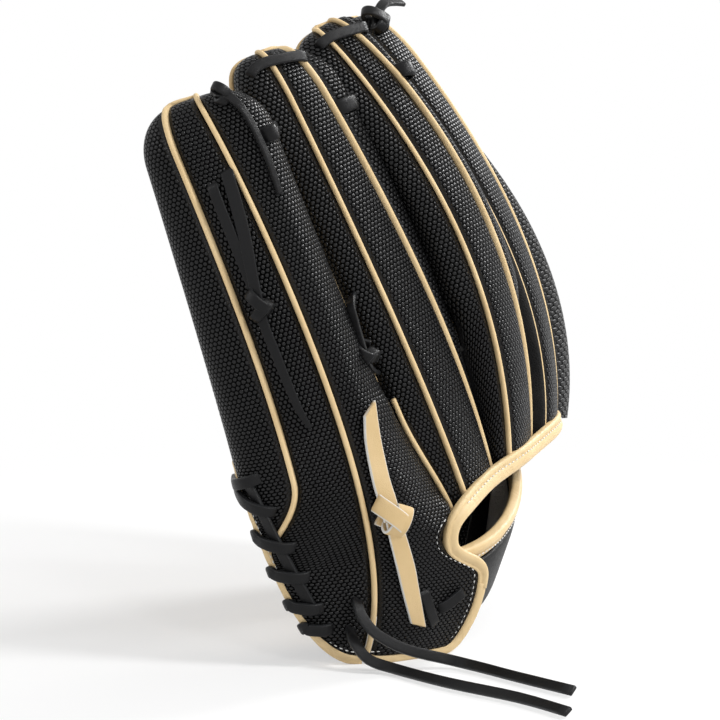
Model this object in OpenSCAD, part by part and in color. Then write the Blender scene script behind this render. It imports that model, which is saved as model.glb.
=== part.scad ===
// Fielder's glove for the left hand, standing on its heel with the fingers up.
// The back of the little finger faces -Y, the pocket opens towards -X, and +Z is up. Millimetres.
// Each finger is a curved tube: a centre line, a facing direction, and half sizes along its length.

/* [Leather and lace] */
// Thickness of the shell leather
leather = 3; // [2:0.1:4]
// Thickness of the hand lining
lining = 1.4; // [1:0.1:2]
// Width of a welt bead
welt_w = 3.6; // [2.6:0.1:4.5]
// Depth of a welt bead
welt_h = 4.4; // [3:0.1:6]
// Height of a welt bead above the leather
welt_proud = 1.2; // [0.5:0.1:2]
// Width of the rawhide lace
lace_w = 4.8; // [3.5:0.1:6]
// Thickness of the rawhide lace
lace_h = 2.2; // [1.6:0.1:3]
// Width of the tan strap lace
tan_lace_w = 8.6; // [6:0.1:10]
// Clearance between pieces that are sewn edge to edge
seam = 0.3; // [0.2:0.05:0.6]

/* [Little finger] */
// Centre line at the heel
little_root = [-7, 30, 3]; // [-40:1:60]
// Control point of the bend
little_bend = [-2, 12, 93]; // [-40:1:140]
// Centre line at the tip
little_tip = [-73, 36, 252]; // [-120:1:300]
// Facing of the back at root and tip, in degrees from -Y
little_facing = [8, 0]; // [-20:1:40]
// Half width on the outer side at root, middle and tip
little_left = [29, 39, 30]; // [15:1:60]
// Half width on the ring finger's side at root, middle and tip
little_right = [68, 33, 27]; // [15:1:80]
// Half thickness towards the back
little_back_t = [24, 20, 15]; // [8:1:40]
// Half thickness towards the palm
little_palm_t = [24, 18, 13]; // [8:1:40]
// Angle of the outer welt
little_welt_l = [-24, -20, -31]; // [-60:1:0]
// Angle of the inner welt
little_welt_r = [2, 13, 0]; // [-10:1:50]

/* [Ring finger] */
// Centre line at the wrist
ring_root = [48, 60, 5]; // [0:1:100]
// Control point of the bend
ring_bend = [46, 51, 98]; // [0:1:160]
// Centre line at the tip
ring_tip = [-42, 64, 261]; // [-80:1:300]
// Facing of the back at root and tip
ring_facing = [62, 38]; // [0:1:90]
// Half width on the little finger's side
ring_left = [24, 24, 25]; // [15:1:40]
// Half width on the middle finger's side
ring_right = [24, 24, 21]; // [15:1:40]
// Half thickness towards the back
ring_back_t = [18, 18, 14]; // [8:1:40]
// Half thickness towards the palm
ring_palm_t = [36, 19, 13]; // [8:1:50]
// Angle of the welt on the little finger's side
ring_welt_l = [2, -24, -8]; // [-60:1:10]
// Angle of the welt on the middle finger's side
ring_welt_r = [52, 42, 27]; // [0:1:60]

/* [Middle finger] */
// Centre line at the wrist
middle_root = [47, 85, 5]; // [0:1:110]
// Control point of the bend
middle_bend = [88, 86, 150]; // [40:1:180]
// Centre line at the tip
middle_tip = [-9, 97, 272]; // [-60:1:300]
// Facing of the back at root and tip
middle_facing = [76, 46]; // [20:1:100]
// Half width on the ring finger's side
middle_left = [24, 24, 25]; // [15:1:40]
// Half width on the index finger's side
middle_right = [23, 20, 19]; // [15:1:40]
// Half thickness towards the back
middle_back_t = [18, 17, 13]; // [8:1:40]
// Half thickness towards the palm
middle_palm_t = [30, 18, 13]; // [8:1:50]
// Angle of the welt on the ring finger's side
middle_welt_l = [-24, -36, -31]; // [-70:1:0]
// Angle of the welt on the index finger's side
middle_welt_r = [50, 21, 0]; // [-10:1:60]

/* [Index finger] */
// Centre line at the wrist
index_root = [40, 108, 5]; // [0:1:140]
// Control point of the bend
index_bend = [125, 124, 110]; // [60:1:180]
// Centre line at the tip
index_tip = [-1, 138, 271]; // [-60:1:300]
// Facing of the back at root and tip
index_facing = [84, 62]; // [40:1:120]
// Half width on the middle finger's side
index_left = [21, 17, 18]; // [15:1:40]
// Half width on the web's side
index_right = [24, 24, 21]; // [15:1:40]
// Half thickness towards the back
index_back_t = [18, 17, 13]; // [8:1:40]
// Half thickness towards the palm
index_palm_t = [22, 19, 13]; // [8:1:50]
// Angle of the welt on the middle finger's side
index_welt_l = [-33, -33, -26]; // [-60:1:0]
// Angle of the welt on the web's side
index_welt_r = [33, 33, 24]; // [0:1:60]

/* [Thumb] */
// Centre line at the heel
thumb_root = [22, 144, 3]; // [0:1:180]
// Control point of the bend
thumb_bend = [62, 206, 92]; // [20:1:240]
// Centre line at the tip
thumb_tip = [-25, 212, 205]; // [-60:1:240]
// Facing of the back at root and tip
thumb_facing = [140, 165]; // [100:1:200]
// Half width on the web's side
thumb_left = [32, 28, 22]; // [15:1:50]
// Half width on the free side
thumb_right = [32, 28, 22]; // [15:1:50]
// Half thickness towards the back
thumb_back_t = [22, 18, 13]; // [8:1:40]
// Half thickness towards the palm
thumb_palm_t = [24, 18, 13]; // [8:1:40]
// Angle of the welt on the web's side
thumb_welt_l = [-30, -30, -24]; // [-60:1:0]
// Angle of the welt on the free side
thumb_welt_r = [30, 30, 24]; // [0:1:60]

/* [Heel, wrist and back opening] */
// Height of the binding along the heel and wrist
binding_h = 5; // [3:0.5:8]
// Thickness of the heel binding beyond the leather it folds over
binding_full = 2.4; // [1:0.1:4]
// Depth by which the bindings are pressed flat on the floor
floor_press = 0.8; // [0.2:0.1:1]
// Left end of the part of the heel that stands on the floor
heel_flat_x = 0; // [-4:1:8]
// Height of the heel edge at the outer side
heel_rise = 85; // [60:1:100]
// Distance over which the heel edge rises
heel_run = 55; // [48:1:65]
// Rise of the thumb's heel edge at its free side
thumb_rise = 50; // [20:1:80]
// Height of the palm's edge between the two heels
palm_arch = 9; // [4:1:20]
// Left end of the back opening
rim_left = 35; // [30:1:40]
// Right end of the back opening
rim_right = 89; // [75:1:100]
// Height of the opening's edge at its left end
rim_low = 53; // [48:1:58]
// Rise of the opening's edge to its right end
rim_rise = 34; // [26:1:42]
// Width of the rolled binding round the opening
rim_w = 8; // [5:0.5:11]
// Thickness of the rolled binding beyond the leather it folds over
rim_full = 3; // [1:0.1:5]
// Reach of the wrist tongue below the opening
tongue_x = 54; // [48:1:62]
// Height of the wrist tongue's end
tongue_z = 32; // [26:1:38]
// Right end of the heel where it stands on the floor
heel_right_x = 37; // [30:1:42]
// Roundness of the wrist flap beside the inner welt
wrist_round = 15; // [8:1:25]
// Thickness of the wrist strap
strap_h = 5; // [3:0.5:8]
// Thickness of the felt heel pads
pad_h = 6; // [3:0.5:9]
// Clearance between the palm leather and the pads behind it
pad_gap = 1.6; // [1:0.1:2.5]
// Place of the floor centre of the whole glove
floor_centre = [-0.3, 108.4]; // [-20:0.1:140]

/* [Hidden] */
$fn = 32;

FINGERS = [
    [little_root, little_bend, little_tip, little_facing, little_left, little_right,
        little_back_t, little_palm_t, little_welt_l, little_welt_r],
    [ring_root, ring_bend, ring_tip, ring_facing, ring_left, ring_right,
        ring_back_t, ring_palm_t, ring_welt_l, ring_welt_r],
    [middle_root, middle_bend, middle_tip, middle_facing, middle_left, middle_right,
        middle_back_t, middle_palm_t, middle_welt_l, middle_welt_r],
    [index_root, index_bend, index_tip, index_facing, index_left, index_right,
        index_back_t, index_palm_t, index_welt_l, index_welt_r],
    [thumb_root, thumb_bend, thumb_tip, thumb_facing, thumb_left, thumb_right,
        thumb_back_t, thumb_palm_t, thumb_welt_l, thumb_welt_r]
];
LITTLE = 0;
RING = 1;
MIDDLE = 2;
INDEX = 3;
THUMB = 4;

// Where the straight part of a finger ends and its rounded tip starts, along the rows and the line
body_rows = 0.82;
body_line = 0.93;
tip_turn = 78;
tip_fullness = 0.6;
// Squareness of the finger's section
section_power = 0.8;
// Sides of a finger, in degrees, where the back leather and the palm leather meet
side_angle = 101;
palm_angle = 103;
valley_angle = 75;
// Place of each slit's end along the fingers, and the length over which the leathers join there
crotch = [0.52, 0.56, 0.56, 0.36];
crotch_blend = 0.08;
// Hook of the outer welt where it runs out to the heel lacing
hook_start = 0.40;
hook_turn = 390;
// Height at which the little finger's inner leather leaves the opening for the valley
join_low = 58;
join_high = 70;
// Turn of the wrist flap towards the back of the wrist, and widths of its tongue and of the heel's curve
wrist_slope = 0.75;
tongue_fade = 10;
heel_power = 1.95;
thumb_power = 1.8;
// Place of each valley between its two fingers
valley_share = [0.6, 0.5, 0.5];

TAN = "#d9b583";
BLACK = "#1b1b1d";
RAWHIDE = "#121213";
FELT = "#8a8580";

// Numbers and vectors
function lerp(a, b, f) = a + (b - a) * f;
function unit(v) = v / max(norm(v), 0.000001);
function clamp01(x) = min(1, max(0, x));
function smooth(x) = let (c = clamp01(x)) c * c * (3 - 2 * c);
function quad3(q, t) = q[0] * (1 - t) * (1 - 2 * t) + q[1] * 4 * t * (1 - t) + q[2] * t * (2 * t - 1);
function power(x, p) = sign(x) * pow(abs(x), p);
function root(g, low, high, n = 16) =
    let (mid = (low + high) / 2)
    n == 0 ? mid : g(mid) > 0 ? root(g, low, mid, n - 1) : root(g, mid, high, n - 1);
function bezier(p, t) =
    pow(1 - t, 3) * p[0] + 3 * t * pow(1 - t, 2) * p[1] + 3 * t * t * (1 - t) * p[2] + pow(t, 3) * p[3];
function on_floor(p) = [p[0], p[1], max(0, p[2])];
function turns(p, i) = unit(p[min(i + 1, len(p) - 1)] - p[max(i - 1, 0)]);
function catmull(p, i, f) =
    let (a = p[max(i - 1, 0)], b = p[i], c = p[i + 1], d = p[min(i + 2, len(p) - 1)])
    0.5 * (2 * b + (c - a) * f + (2 * a - 5 * b + 4 * c - d) * f * f
        + (3 * b - a - 3 * c + d) * f * f * f);
function smooth_path(p, steps) = [
    for (i = [0 : len(p) - 2]) for (k = [0 : steps - 1]) catmull(p, i, k / steps),
    p[len(p) - 1]
];

// Finger tube: place along the line and fullness for row v, then centre and directions
function tip_angle(v) = tip_turn * clamp01((v - body_rows) / (1 - body_rows));
function line_at(v) =
    v < body_rows ? v / body_rows * body_line : body_line + (1 - body_line) * sin(tip_angle(v));
function fullness(v) = pow(cos(tip_angle(v)), tip_fullness);
function centre(i, t) =
    let (f = FINGERS[i])
    (1 - t) * (1 - t) * f[0] + 2 * t * (1 - t) * f[1] + t * t * f[2];
function along(i, t) = let (f = FINGERS[i]) unit((1 - t) * (f[1] - f[0]) + t * (f[2] - f[1]));
function outward(i, t) =
    let (
        turn = lerp(FINGERS[i][3][0], FINGERS[i][3][1], t),
        h = [sin(turn), -cos(turn), 0],
        k = along(i, t)
    )
    unit(h - (h * k) * k);
function sideways(i, t) = cross(along(i, t), outward(i, t));
// The palm side of the little finger and thumb closes towards the heel
function pinch(i, t) = (i == LITTLE || i == THUMB) ? 0.3 + 0.7 * pow(clamp01(t / 0.3), 0.7) : 1;

// Point of finger i at angle th round it and row v, off millimetres under the surface
function tube(i, th, v, off = 0) =
    let (
        f = FINGERS[i],
        t = line_at(v),
        full = fullness(v),
        a = quad3(sin(th) < 0 ? f[4] : f[5], t) * full - off,
        b = (cos(th) > 0 ? quad3(f[6], t) : quad3(f[7], t) * pinch(i, t)) * full - off
    )
    centre(i, t) + a * power(sin(th), section_power) * sideways(i, t)
        + b * power(cos(th), section_power) * outward(i, t);
function tube_normal(i, th, v) = unit(tube(i, th, v, -1) - tube(i, th, v));
function per_degree(i, th, v) = norm(tube(i, th + 1, v) - tube(i, th - 1, v)) / 2;

// Welt angles, side -1 or 1
function hook(i, side, t) =
    i == LITTLE && side < 0 ? hook_turn * pow(max(0, (hook_start - t) / hook_start), 2) : 0;
function welt_angle(i, side, v) =
    let (t = line_at(v))
    max(-95, quad3(FINGERS[i][side < 0 ? 8 : 9], t) - hook(i, side, t));
function seam_angle(i, side, v) =
    let (w = welt_angle(i, side, v)) (welt_w / 2 + seam) / per_degree(i, w, v);

// Valley between finger j and the next, and how far the leathers have joined at row v
function joined(j, v) = j < 0 || j > 2 ? 0 : smooth((crotch[j] - line_at(v)) / crotch_blend);
function palm_joined(j, v) = j < 0 || j > 3 ? 0 : smooth((crotch[j] - line_at(v)) / crotch_blend);
function valley(j, v, off = 0) =
    lerp(tube(j, valley_angle, v, off), tube(j + 1, -valley_angle, v, off), valley_share[j]);
function across(j, v) = let (t = line_at(v)) unit(sideways(j, t) + sideways(j + 1, t));
function valley_gap(j) = j == 0 ? welt_w / 2 + seam : seam;

// Leather beside a welt, from the welt at f = 0 to the finger's side at f = 1
function gusset(i, side, f, v, off) =
    let (
        j = side > 0 ? i : i - 1,
        w = joined(j, v),
        start = welt_angle(i, side, v) + side * seam_angle(i, side, v),
        end = side * lerp(side_angle, valley_angle, w),
        p = tube(i, lerp(start, end, f), v, off)
    )
    w == 0 ? p
    : p + w * f * f * (valley(j, v, off) - side * valley_gap(j) * across(j, v) - tube(i, end, v, off));

// Wrist flap of the little finger's inner leather: its right edge at height z, and its points
function opening_edge(z) =
    z < tongue_z ? tongue_x - (tongue_x - heel_right_x) * pow((tongue_z - z) / tongue_z, 2)
    : z < rim_low ? rim_left + (tongue_x - rim_left) * exp(-pow((z - tongue_z) / tongue_fade, 2))
    : rim_left + (rim_right - rim_left) * pow((z - rim_low) / rim_rise, 2);
function inner_welt(v) = tube(LITTLE, welt_angle(LITTLE, 1, v), v);
function flap(x, v, off = 0) =
    let (
        w = inner_welt(v),
        d = x - w[0],
        reach = norm([d, wrist_round]),
        n = unit([wrist_slope * d / reach, -1, 0])
    )
    [x, w[1] + wrist_slope * (reach - wrist_round), w[2]] - off * n;
function flap_row(z) = root(function (v) inner_welt(v)[2] - z, 0, 0.6);
function flap_normal(x, v) = unit(flap(x, v, -1) - flap(x, v));
function wrist_leather(f, v, off) =
    let (
        w = inner_welt(v),
        low = flap(lerp(w[0] + welt_w / 2 + seam, opening_edge(w[2]) - seam, f), v, off),
        share = smooth((w[2] - join_low) / (join_high - join_low))
    )
    share == 0 ? low : lerp(low, gusset(LITTLE, 1, f, v, off), share);

// Back leather of finger i: side -1, 0 or 1
function back_edge(i, side, v) = welt_angle(i, side, v) - side * seam_angle(i, side, v);
function leather_at(i, side, f, v, off) =
    side == 0 ? tube(i, lerp(back_edge(i, -1, v), back_edge(i, 1, v), f), v, off)
    : i == LITTLE && side == 1 ? wrist_leather(f, v, off)
    : gusset(i, side, f, v, off);

// Lower edges
function heel_z(x) = x < heel_flat_x ? heel_rise * pow((heel_flat_x - x) / heel_run, heel_power) : 0;
function rim_z(x) = rim_low + rim_rise * sqrt(max(0, (x - rim_left) / (rim_right - rim_left)));
function edge_z(i, side, f, p) =
    i == LITTLE ? heel_z(p[0])
    : i == THUMB ? (side > 0 ? thumb_rise * pow(f, thumb_power) : 0)
    : rim_z(p[0]);
function low_row(i, side, f, lift) =
    root(function (v) let (p = leather_at(i, side, f, v, 0)) p[2] - edge_z(i, side, f, p) - lift, 0, 0.6);
bound_lift = binding_h / 2 - floor_press;
bound_top = binding_h - floor_press;
function bound_h(i) = i == LITTLE || i == THUMB ? bound_top + seam : 0;
function row_at(low, r, body, tip) =
    r <= body ? lerp(low, body_rows, r / body) : lerp(body_rows, 1, (r - body) / tip);

// Closed sheet between two grids of points, with the cells that keep holds true for
module sheet(outer, inner, keep = function (r, c) true) {
    rows = len(outer) - 1;
    cols = len(outer[0]) - 1;
    n = (rows + 1) * (cols + 1);
    function at(r, c) = r * (cols + 1) + c;
    function kept(r, c) = r >= 0 && r < rows && c >= 0 && c < cols && keep(r, c);
    function pair(a, b) = [[a, b, b + n], [a, b + n, a + n]];
    points = [for (g = [outer, inner]) for (row = g) for (p = row) on_floor(p)];
    faces = [
        for (r = [0 : rows - 1]) for (c = [0 : cols - 1]) if (kept(r, c))
            let (a = at(r, c), b = at(r + 1, c), d = at(r, c + 1), e = at(r + 1, c + 1))
            each concat(
                [[a, b, e], [a, e, d], [a + n, e + n, b + n], [a + n, d + n, e + n]],
                kept(r, c - 1) ? [] : pair(b, a),
                kept(r, c + 1) ? [] : pair(d, e),
                kept(r - 1, c) ? [] : pair(a, d),
                kept(r + 1, c) ? [] : pair(e, b)
            )
    ];
    polyhedron(points, faces, convexity = 8);
}

// Strip of rounded section along the points p, with its flat side along the normals n
module ribbon(p, n, w, h) {
    sides = 8;
    last = len(p) - 1;
    points = [
        for (i = [0 : last])
            let (t = turns(p, i), b = unit(cross(n[i], t)), m = cross(t, b))
            for (k = [0 : sides - 1])
                let (a = (k + 0.5) * 360 / sides)
                on_floor(p[i] + w / 2 * power(cos(a), 0.5) * b + h / 2 * power(sin(a), 0.5) * m)
    ];
    faces = [
        for (i = [0 : last - 1]) for (k = [0 : sides - 1])
            let (a = i * sides + k, d = i * sides + (k + 1) % sides)
            each [[a, a + sides, d + sides], [a, d + sides, d]],
        for (k = [1 : sides - 2]) [0, k, k + 1],
        for (k = [1 : sides - 2]) [last * sides, last * sides + k + 1, last * sides + k]
    ];
    polyhedron(points, faces, convexity = 8);
}

module place() {
    translate([-floor_centre[0], -floor_centre[1], 0]) children();
}

// Back leathers and welts
module back_leather(i, side, cols = 4, body = 11, tip = 3) {
    low = [for (c = [0 : cols]) low_row(i, side, c / cols, bound_h(i))];
    function grid(off) = [
        for (r = [0 : body + tip]) [
            for (c = [0 : cols])
                let (k = side < 0 ? cols - c : c)
                leather_at(i, side, k / cols, row_at(low[k], r, body, tip), off)
        ]
    ];
    color(BLACK) place() sheet(grid(0), grid(leather));
}

module welt(i, side, rows = 16) {
    low = low_row(i, side, 0, bound_h(i));
    v = [for (r = [0 : rows]) row_at(low, r, rows - 5, 5)];
    sunk = welt_h / 2 - welt_proud;
    p = [for (x = v) tube(i, welt_angle(i, side, x), x, sunk)];
    n = [for (x = v) tube_normal(i, welt_angle(i, side, x), x)];
    color(TAN) place() ribbon(p, n, welt_w, welt_h);
}

module valley_welt() {
    rows = 9;
    low = low_row(RING, -1, 1, 0);
    high = root(function (v) line_at(v) - crotch[0] + crotch_blend, 0, 1);
    v = [for (r = [0 : rows]) lerp(low, high, r / rows)];
    sunk = welt_h / 2 - welt_proud;
    p = [for (x = v) valley(0, x, sunk)];
    n = [for (x = v) unit(valley(0, x, -1) - valley(0, x))];
    color(TAN) place() ribbon(p, n, welt_w, welt_h);
}

// Share of the way from index finger to thumb that each palm leather reaches, clear of the fold
fold_share = 3 / 7;

// Palm leather: column k = -3 to 3 of finger i, from its inner side to its outer side; below the
// crotch it is flat, and reaches half way to the next finger less a seam
function palm_turn(k) = 180 - (180 - palm_angle) * k / 3;
function palm_at(i, k, v, off) =
    let (
        own = tube(i, palm_turn(k), v, off),
        j = k > 0 ? i : i - 1,
        other = k > 0 ? i + 1 : i - 1,
        w = k == 0 ? 0 : palm_joined(j, v)
    )
    w == 0 ? own
    : let (
        a = tube(i, 180, v, off),
        b = tube(other, 180, v, off),
        reach = j == INDEX ? fold_share * (b - a) : (b - a) / 2 - seam * unit(b - a)
    )
    lerp(own, a + reach * abs(k) / 3, w);
function palm_edge(i, k, p) =
    i == LITTLE && k <= 0 ? heel_z(p[0]) + bound_top
    : i == THUMB && k >= 0 ? bound_top + thumb_rise * pow(k / 3, thumb_power)
    : palm_arch;
function palm_low(i, k) =
    root(function (v) let (p = palm_at(i, k, v, 0)) p[2] - palm_edge(i, k, p) - seam, 0, 0.6);

module palm_leather(i, body = 11, tip = 3) {
    low = [for (k = [3 : -1 : -3]) palm_low(i, k)];
    function grid(o) = [
        for (r = [0 : body + tip]) [
            for (c = [0 : len(low) - 1]) palm_at(i, 3 - c, row_at(low[c], r, body, tip), o)
        ]
    ];
    color(TAN) place() sheet(grid(0), grid(leather));
}

// Part of the palm side of one or more fingers, from row a to row b
module palm_patch(list, a, b, off, thick, rows) {
    function grid(o) = [
        for (r = [0 : rows]) [for (c = list) palm_at(c[0], c[1], lerp(a, b, r / rows), o)]
    ];
    sheet(grid(off), grid(off + thick));
}

module palm_lining() {
    list = [for (i = [INDEX : -1 : RING]) for (k = [2 : -1 : -2]) [i, k]];
    color(BLACK) place() palm_patch(list, 0.09, 0.36, leather + pad_gap, lining, 8);
}

module little_heel_pad() {
    list = [for (k = [2 : -1 : -2]) [LITTLE, k]];
    color(FELT) place() palm_patch(list, 0.16, 0.36, leather + pad_gap, pad_h, 6);
}

module thumb_heel_pad() {
    list = [for (k = [2 : -1 : -2]) [THUMB, k]];
    color(FELT) place() palm_patch(list, 0.16, 0.36, leather + pad_gap, pad_h, 6);
}

// Heel edge of the little finger: u = 0 at the outer side, 1 at the inner welt
outer_share = 0.45;
function heel_at(u, lift, off) =
    let (
        outer = u < outer_share,
        side = outer ? -1 : 0,
        f = outer ? 1 - u / outer_share : (u - outer_share) / (1 - outer_share)
    )
    leather_at(LITTLE, side, f, low_row(LITTLE, side, f, lift), off);
function heel_normal(u, lift) = unit(heel_at(u, lift, -1) - heel_at(u, lift, 0));

module heel_binding() {
    steps = 28;
    u = [for (k = [0 : steps]) 1 - pow(1 - k / steps, 1.4)];
    p = [for (x = u) heel_at(x, bound_lift, leather / 2)];
    n = [for (x = u) heel_normal(x, bound_lift)];
    color(TAN) place() ribbon(p, n, binding_h, leather + binding_full);
}

// Wrist edge of the inner leather: along the floor, then up to the tongue
module wrist_binding() {
    across_steps = 7;
    up_steps = 8;
    left_x = inner_welt(flap_row(bound_lift))[0] + welt_w / 2;
    path = [
        for (k = [0 : across_steps - 1]) [lerp(left_x, heel_right_x, k / across_steps), bound_lift],
        for (k = [0 : up_steps])
            let (z = lerp(bound_lift, tongue_z, k / up_steps))
            [opening_edge(z) + binding_h / 2, z]
    ];
    p = [for (e = path) flap(e[0], flap_row(e[1]), leather / 2)];
    n = [for (e = path) flap_normal(e[0], flap_row(e[1]))];
    color(TAN) place() ribbon(p, n, binding_h, leather + binding_full);
}

// Rolled rim of the back opening, from the tongue round its left end and along the fingers
module rim_binding() {
    notch_steps = 12;
    finger_steps = 3;
    lift = -rim_w / 2 - seam;
    low_z = tongue_z + 1.5;
    high_z = leather_at(RING, -1, 1, low_row(RING, -1, 1, lift), 0)[2];
    notch = [
        for (k = [0 : notch_steps - 1])
            let (z = lerp(low_z, high_z, k / notch_steps))
            [opening_edge(z) + rim_w / 2, flap_row(z)]
    ];
    edge = [
        for (i = [RING : INDEX]) for (side = [-1 : 1]) for (k = [0 : finger_steps - 1])
            let (f = (k + 0.5) / finger_steps, g = side < 0 ? 1 - f : f)
            [i, side, g, low_row(i, side, g, lift)]
    ];
    p = [
        for (e = notch) flap(e[0], e[1], leather / 2),
        for (e = edge) leather_at(e[0], e[1], e[2], e[3], leather / 2)
    ];
    n = [
        for (e = notch) flap_normal(e[0], e[1]),
        for (e = edge) unit(leather_at(e[0], e[1], e[2], e[3], -1) - leather_at(e[0], e[1], e[2], e[3], 0))
    ];
    color(TAN) place() ribbon(p, n, rim_w, leather + rim_full);
}

module thumb_binding() {
    steps = 6;
    list = [for (side = [-1 : 1]) for (k = [0 : steps]) if (side < 0 || k > 0) [side, k / steps]];
    function point(e, off) =
        let (
            f = e[0] < 0 ? 1 - e[1] : e[1],
            q = leather_at(THUMB, e[0], f, low_row(THUMB, e[0], f, bound_lift), off)
        )
        [q[0], q[1], bound_lift + edge_z(THUMB, e[0], f, q)];
    p = [for (e = list) point(e, leather / 2)];
    n = [for (e = list) let (d = point(e, -1) - point(e, 0)) unit([d[0], d[1], 0])];
    color(TAN) place() ribbon(p, n, binding_h, leather + binding_full);
}

// Wrist strap from the tongue round the back of the wrist to the thumb
strap_start_x = 42;
strap_start_z = [12, 38];
strap_end_angle = -68;
strap_end_row = [0.07, 0.28];
function strap_start(z) = flap(strap_start_x, flap_row(z), leather + seam);
function strap_end(row) = tube(THUMB, strap_end_angle, row, -strap_h - 3 * seam);
STRAP_LOW = [strap_start(strap_start_z[0]), [58, 44, 12], [64, 96, 14], strap_end(strap_end_row[0])];
STRAP_TOP = [strap_start(strap_start_z[1]), [72, 48, 38], [82, 96, 56], strap_end(strap_end_row[1])];
function strap_at(f, g, off) =
    let (
        p = lerp(bezier(STRAP_LOW, f), bezier(STRAP_TOP, f), g),
        df = lerp(bezier(STRAP_LOW, f + 0.01), bezier(STRAP_TOP, f + 0.01), g) - p,
        dg = bezier(STRAP_TOP, f) - bezier(STRAP_LOW, f)
    )
    p - off * unit(cross(df, dg));

module wrist_strap() {
    cols = 14;
    rows = 4;
    function grid(off) = [
        for (r = [0 : rows]) [for (c = [0 : cols]) strap_at(c / cols, r / rows, off)]
    ];
    color(BLACK) place() sheet(grid(0), grid(strap_h));
}

module strap_binding() {
    steps = 18;
    rise = rim_w / 2 + seam;
    list = [for (k = [0 : steps]) lerp(0.14, 1, k / steps)];
    p = [for (f = list) strap_at(f, 1, strap_h / 2) + [0, 0, rise]];
    n = [for (f = list) unit(strap_at(f, 1, -1) - strap_at(f, 1, 0))];
    color(TAN) place() ribbon(p, n, rim_w, strap_h + 1);
}

// Web between index finger and thumb: f = 0 at the index, 1 at the thumb, g = 0 at its foot
web_out = 9;
function web_at(f, g, off) =
    let (
        a = tube(INDEX, side_angle, lerp(0.46, 0.93, g), -1),
        b = tube(THUMB, -side_angle, lerp(0.40, 0.93, g), -1),
        out = unit([1, 0.45, 0.1])
    )
    lerp(a, b, f) + out * (web_out * 4 * f * (1 - f) - off - leather);

module web_piece(f0, f1, g0, g1, cols, rows) {
    function grid(off) = [
        for (r = [0 : rows]) [
            for (c = [0 : cols]) web_at(lerp(f0, f1, c / cols), lerp(g0, g1, r / rows), off)
        ]
    ];
    color(TAN) place() sheet(grid(0), grid(leather));
}

module web_top() {
    web_piece(0.13, 0.87, 0.74, 0.98, 8, 3);
}

module web_post() {
    web_piece(0.36, 0.64, 0.264, 0.736, 4, 5);
}

module web_base() {
    web_piece(0.14, 0.86, 0.04, 0.26, 8, 3);
}

module web_laces() {
    steps = 10;
    color(RAWHIDE) place() for (f = [0.075, 0.925]) {
        p = [for (k = [0 : steps]) web_at(f, lerp(0.05, 0.97, k / steps), leather / 2)];
        n = [for (k = [0 : steps]) [1, 0.45, 0.1]];
        ribbon(p, n, lace_w, lace_h);
    }
}

// Lace round the little finger's heel: a running strip, and wraps from a hole over the heel's edge
HEEL_RUN = [[LITTLE, -60, 0.37, 1.4], [LITTLE, -56, 0.345, 1.4], [LITTLE, -49, 0.296, 1.4],
    [LITTLE, -40, 0.23, 1.4], [LITTLE, -29, 0.159, 1.4], [LITTLE, -22, 0.115, 1.4]];
// Angle and row of each hole, and the angle at which its wrap crosses the edge
HEEL_WRAPS = [[-46, 0.37, -98], [-40, 0.309, -88], [-30, 0.242, -71], [-23, 0.186, -59], [-16, 0.125, -46],
    [-11, 0.084, -34]];
function heel_row(th) = root(function (v) let (p = tube(LITTLE, th, v)) p[2] - heel_z(p[0]), 0, 0.6);
function heel_edge(th) = tube(LITTLE, th, heel_row(th));
module heel_lace() {
    color(RAWHIDE) place() {
        laid_lace(HEEL_RUN, lace_w, lace_h, 2);
        for (w = HEEL_WRAPS) {
            edge = heel_edge(w[2]);
            out = tube_normal(LITTLE, w[2], heel_row(w[2]));
            away = cross(unit(heel_edge(w[2] + 3) - heel_edge(w[2] - 3)), out);
            hole = [for (h = [-1.5, 1.8]) tube(LITTLE, w[0], w[1], -h)];
            over = edge + 4.2 * out - 4 * away;
            face = tube_normal(LITTLE, w[0], w[1]);
            p = [hole[0], hole[1], lerp(hole[1], over, 0.5) + 2.4 * face, over,
                edge + 3.4 * away - leather / 2 * out, edge - 3 * away - (leather + 4) * out];
            ribbon(p, [face, face, unit(face + out), out, away, -out], lace_w, lace_h);
        }
    }
}

module thumb_heel_lace() {
    wraps = 4;
    function edge(f, lift, off) = leather_at(THUMB, 1, f, low_row(THUMB, 1, f, lift), off);
    color(RAWHIDE) place() for (k = [0 : wraps - 1]) {
        f = lerp(0.15, 0.85, k / (wraps - 1));
        route = [[15, 1], [13, -1.6], [6, -3.4], [1, -3.4], [-2.6, leather / 2], [2, leather + 4]];
        p = [for (e = route) edge(f, e[0], e[1])];
        out = unit(edge(f, 8, -1) - edge(f, 8, 0));
        down = unit(edge(f, 4, 0) - edge(f, 12, 0));
        ribbon(p, [out, out, out, out, down, -out], lace_w, lace_h);
    }
}

// Lace laid over fingers: each stop is finger, angle, row and height above the leather
function stops(list) = [for (s = list) tube(s[0], s[1], s[2], -s[3])];
function stop_normals(list) = [for (s = list) tube_normal(s[0], s[1], s[2])];
module laid_lace(list, w, h, steps = 4) {
    ribbon(smooth_path(stops(list), steps), smooth_path(stop_normals(list), steps), w, h);
}

TIP_LACES = [
    [[RING, -80, 0.955, -1], [RING, -60, 0.96, 2.6], [RING, -39, 0.957, 3], [RING, -8, 0.946, 3.2],
        [RING, 13, 0.941, 3.2], [RING, 40, 0.935, 3], [RING, 68, 0.93, 2.6], [RING, 85, 0.93, -1]],
    [[MIDDLE, -80, 0.975, -1], [MIDDLE, -62, 0.975, 2.6], [MIDDLE, -40, 0.97, 3], [MIDDLE, -10, 0.957, 3.2],
        [MIDDLE, 8, 0.945, 3.2], [MIDDLE, 40, 0.935, 3], [MIDDLE, 68, 0.93, 2.6], [MIDDLE, 85, 0.93, -1]]
];
module tip_lace() {
    color(RAWHIDE) place() for (list = TIP_LACES) laid_lace(list, lace_w, lace_h, 2);
}

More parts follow.
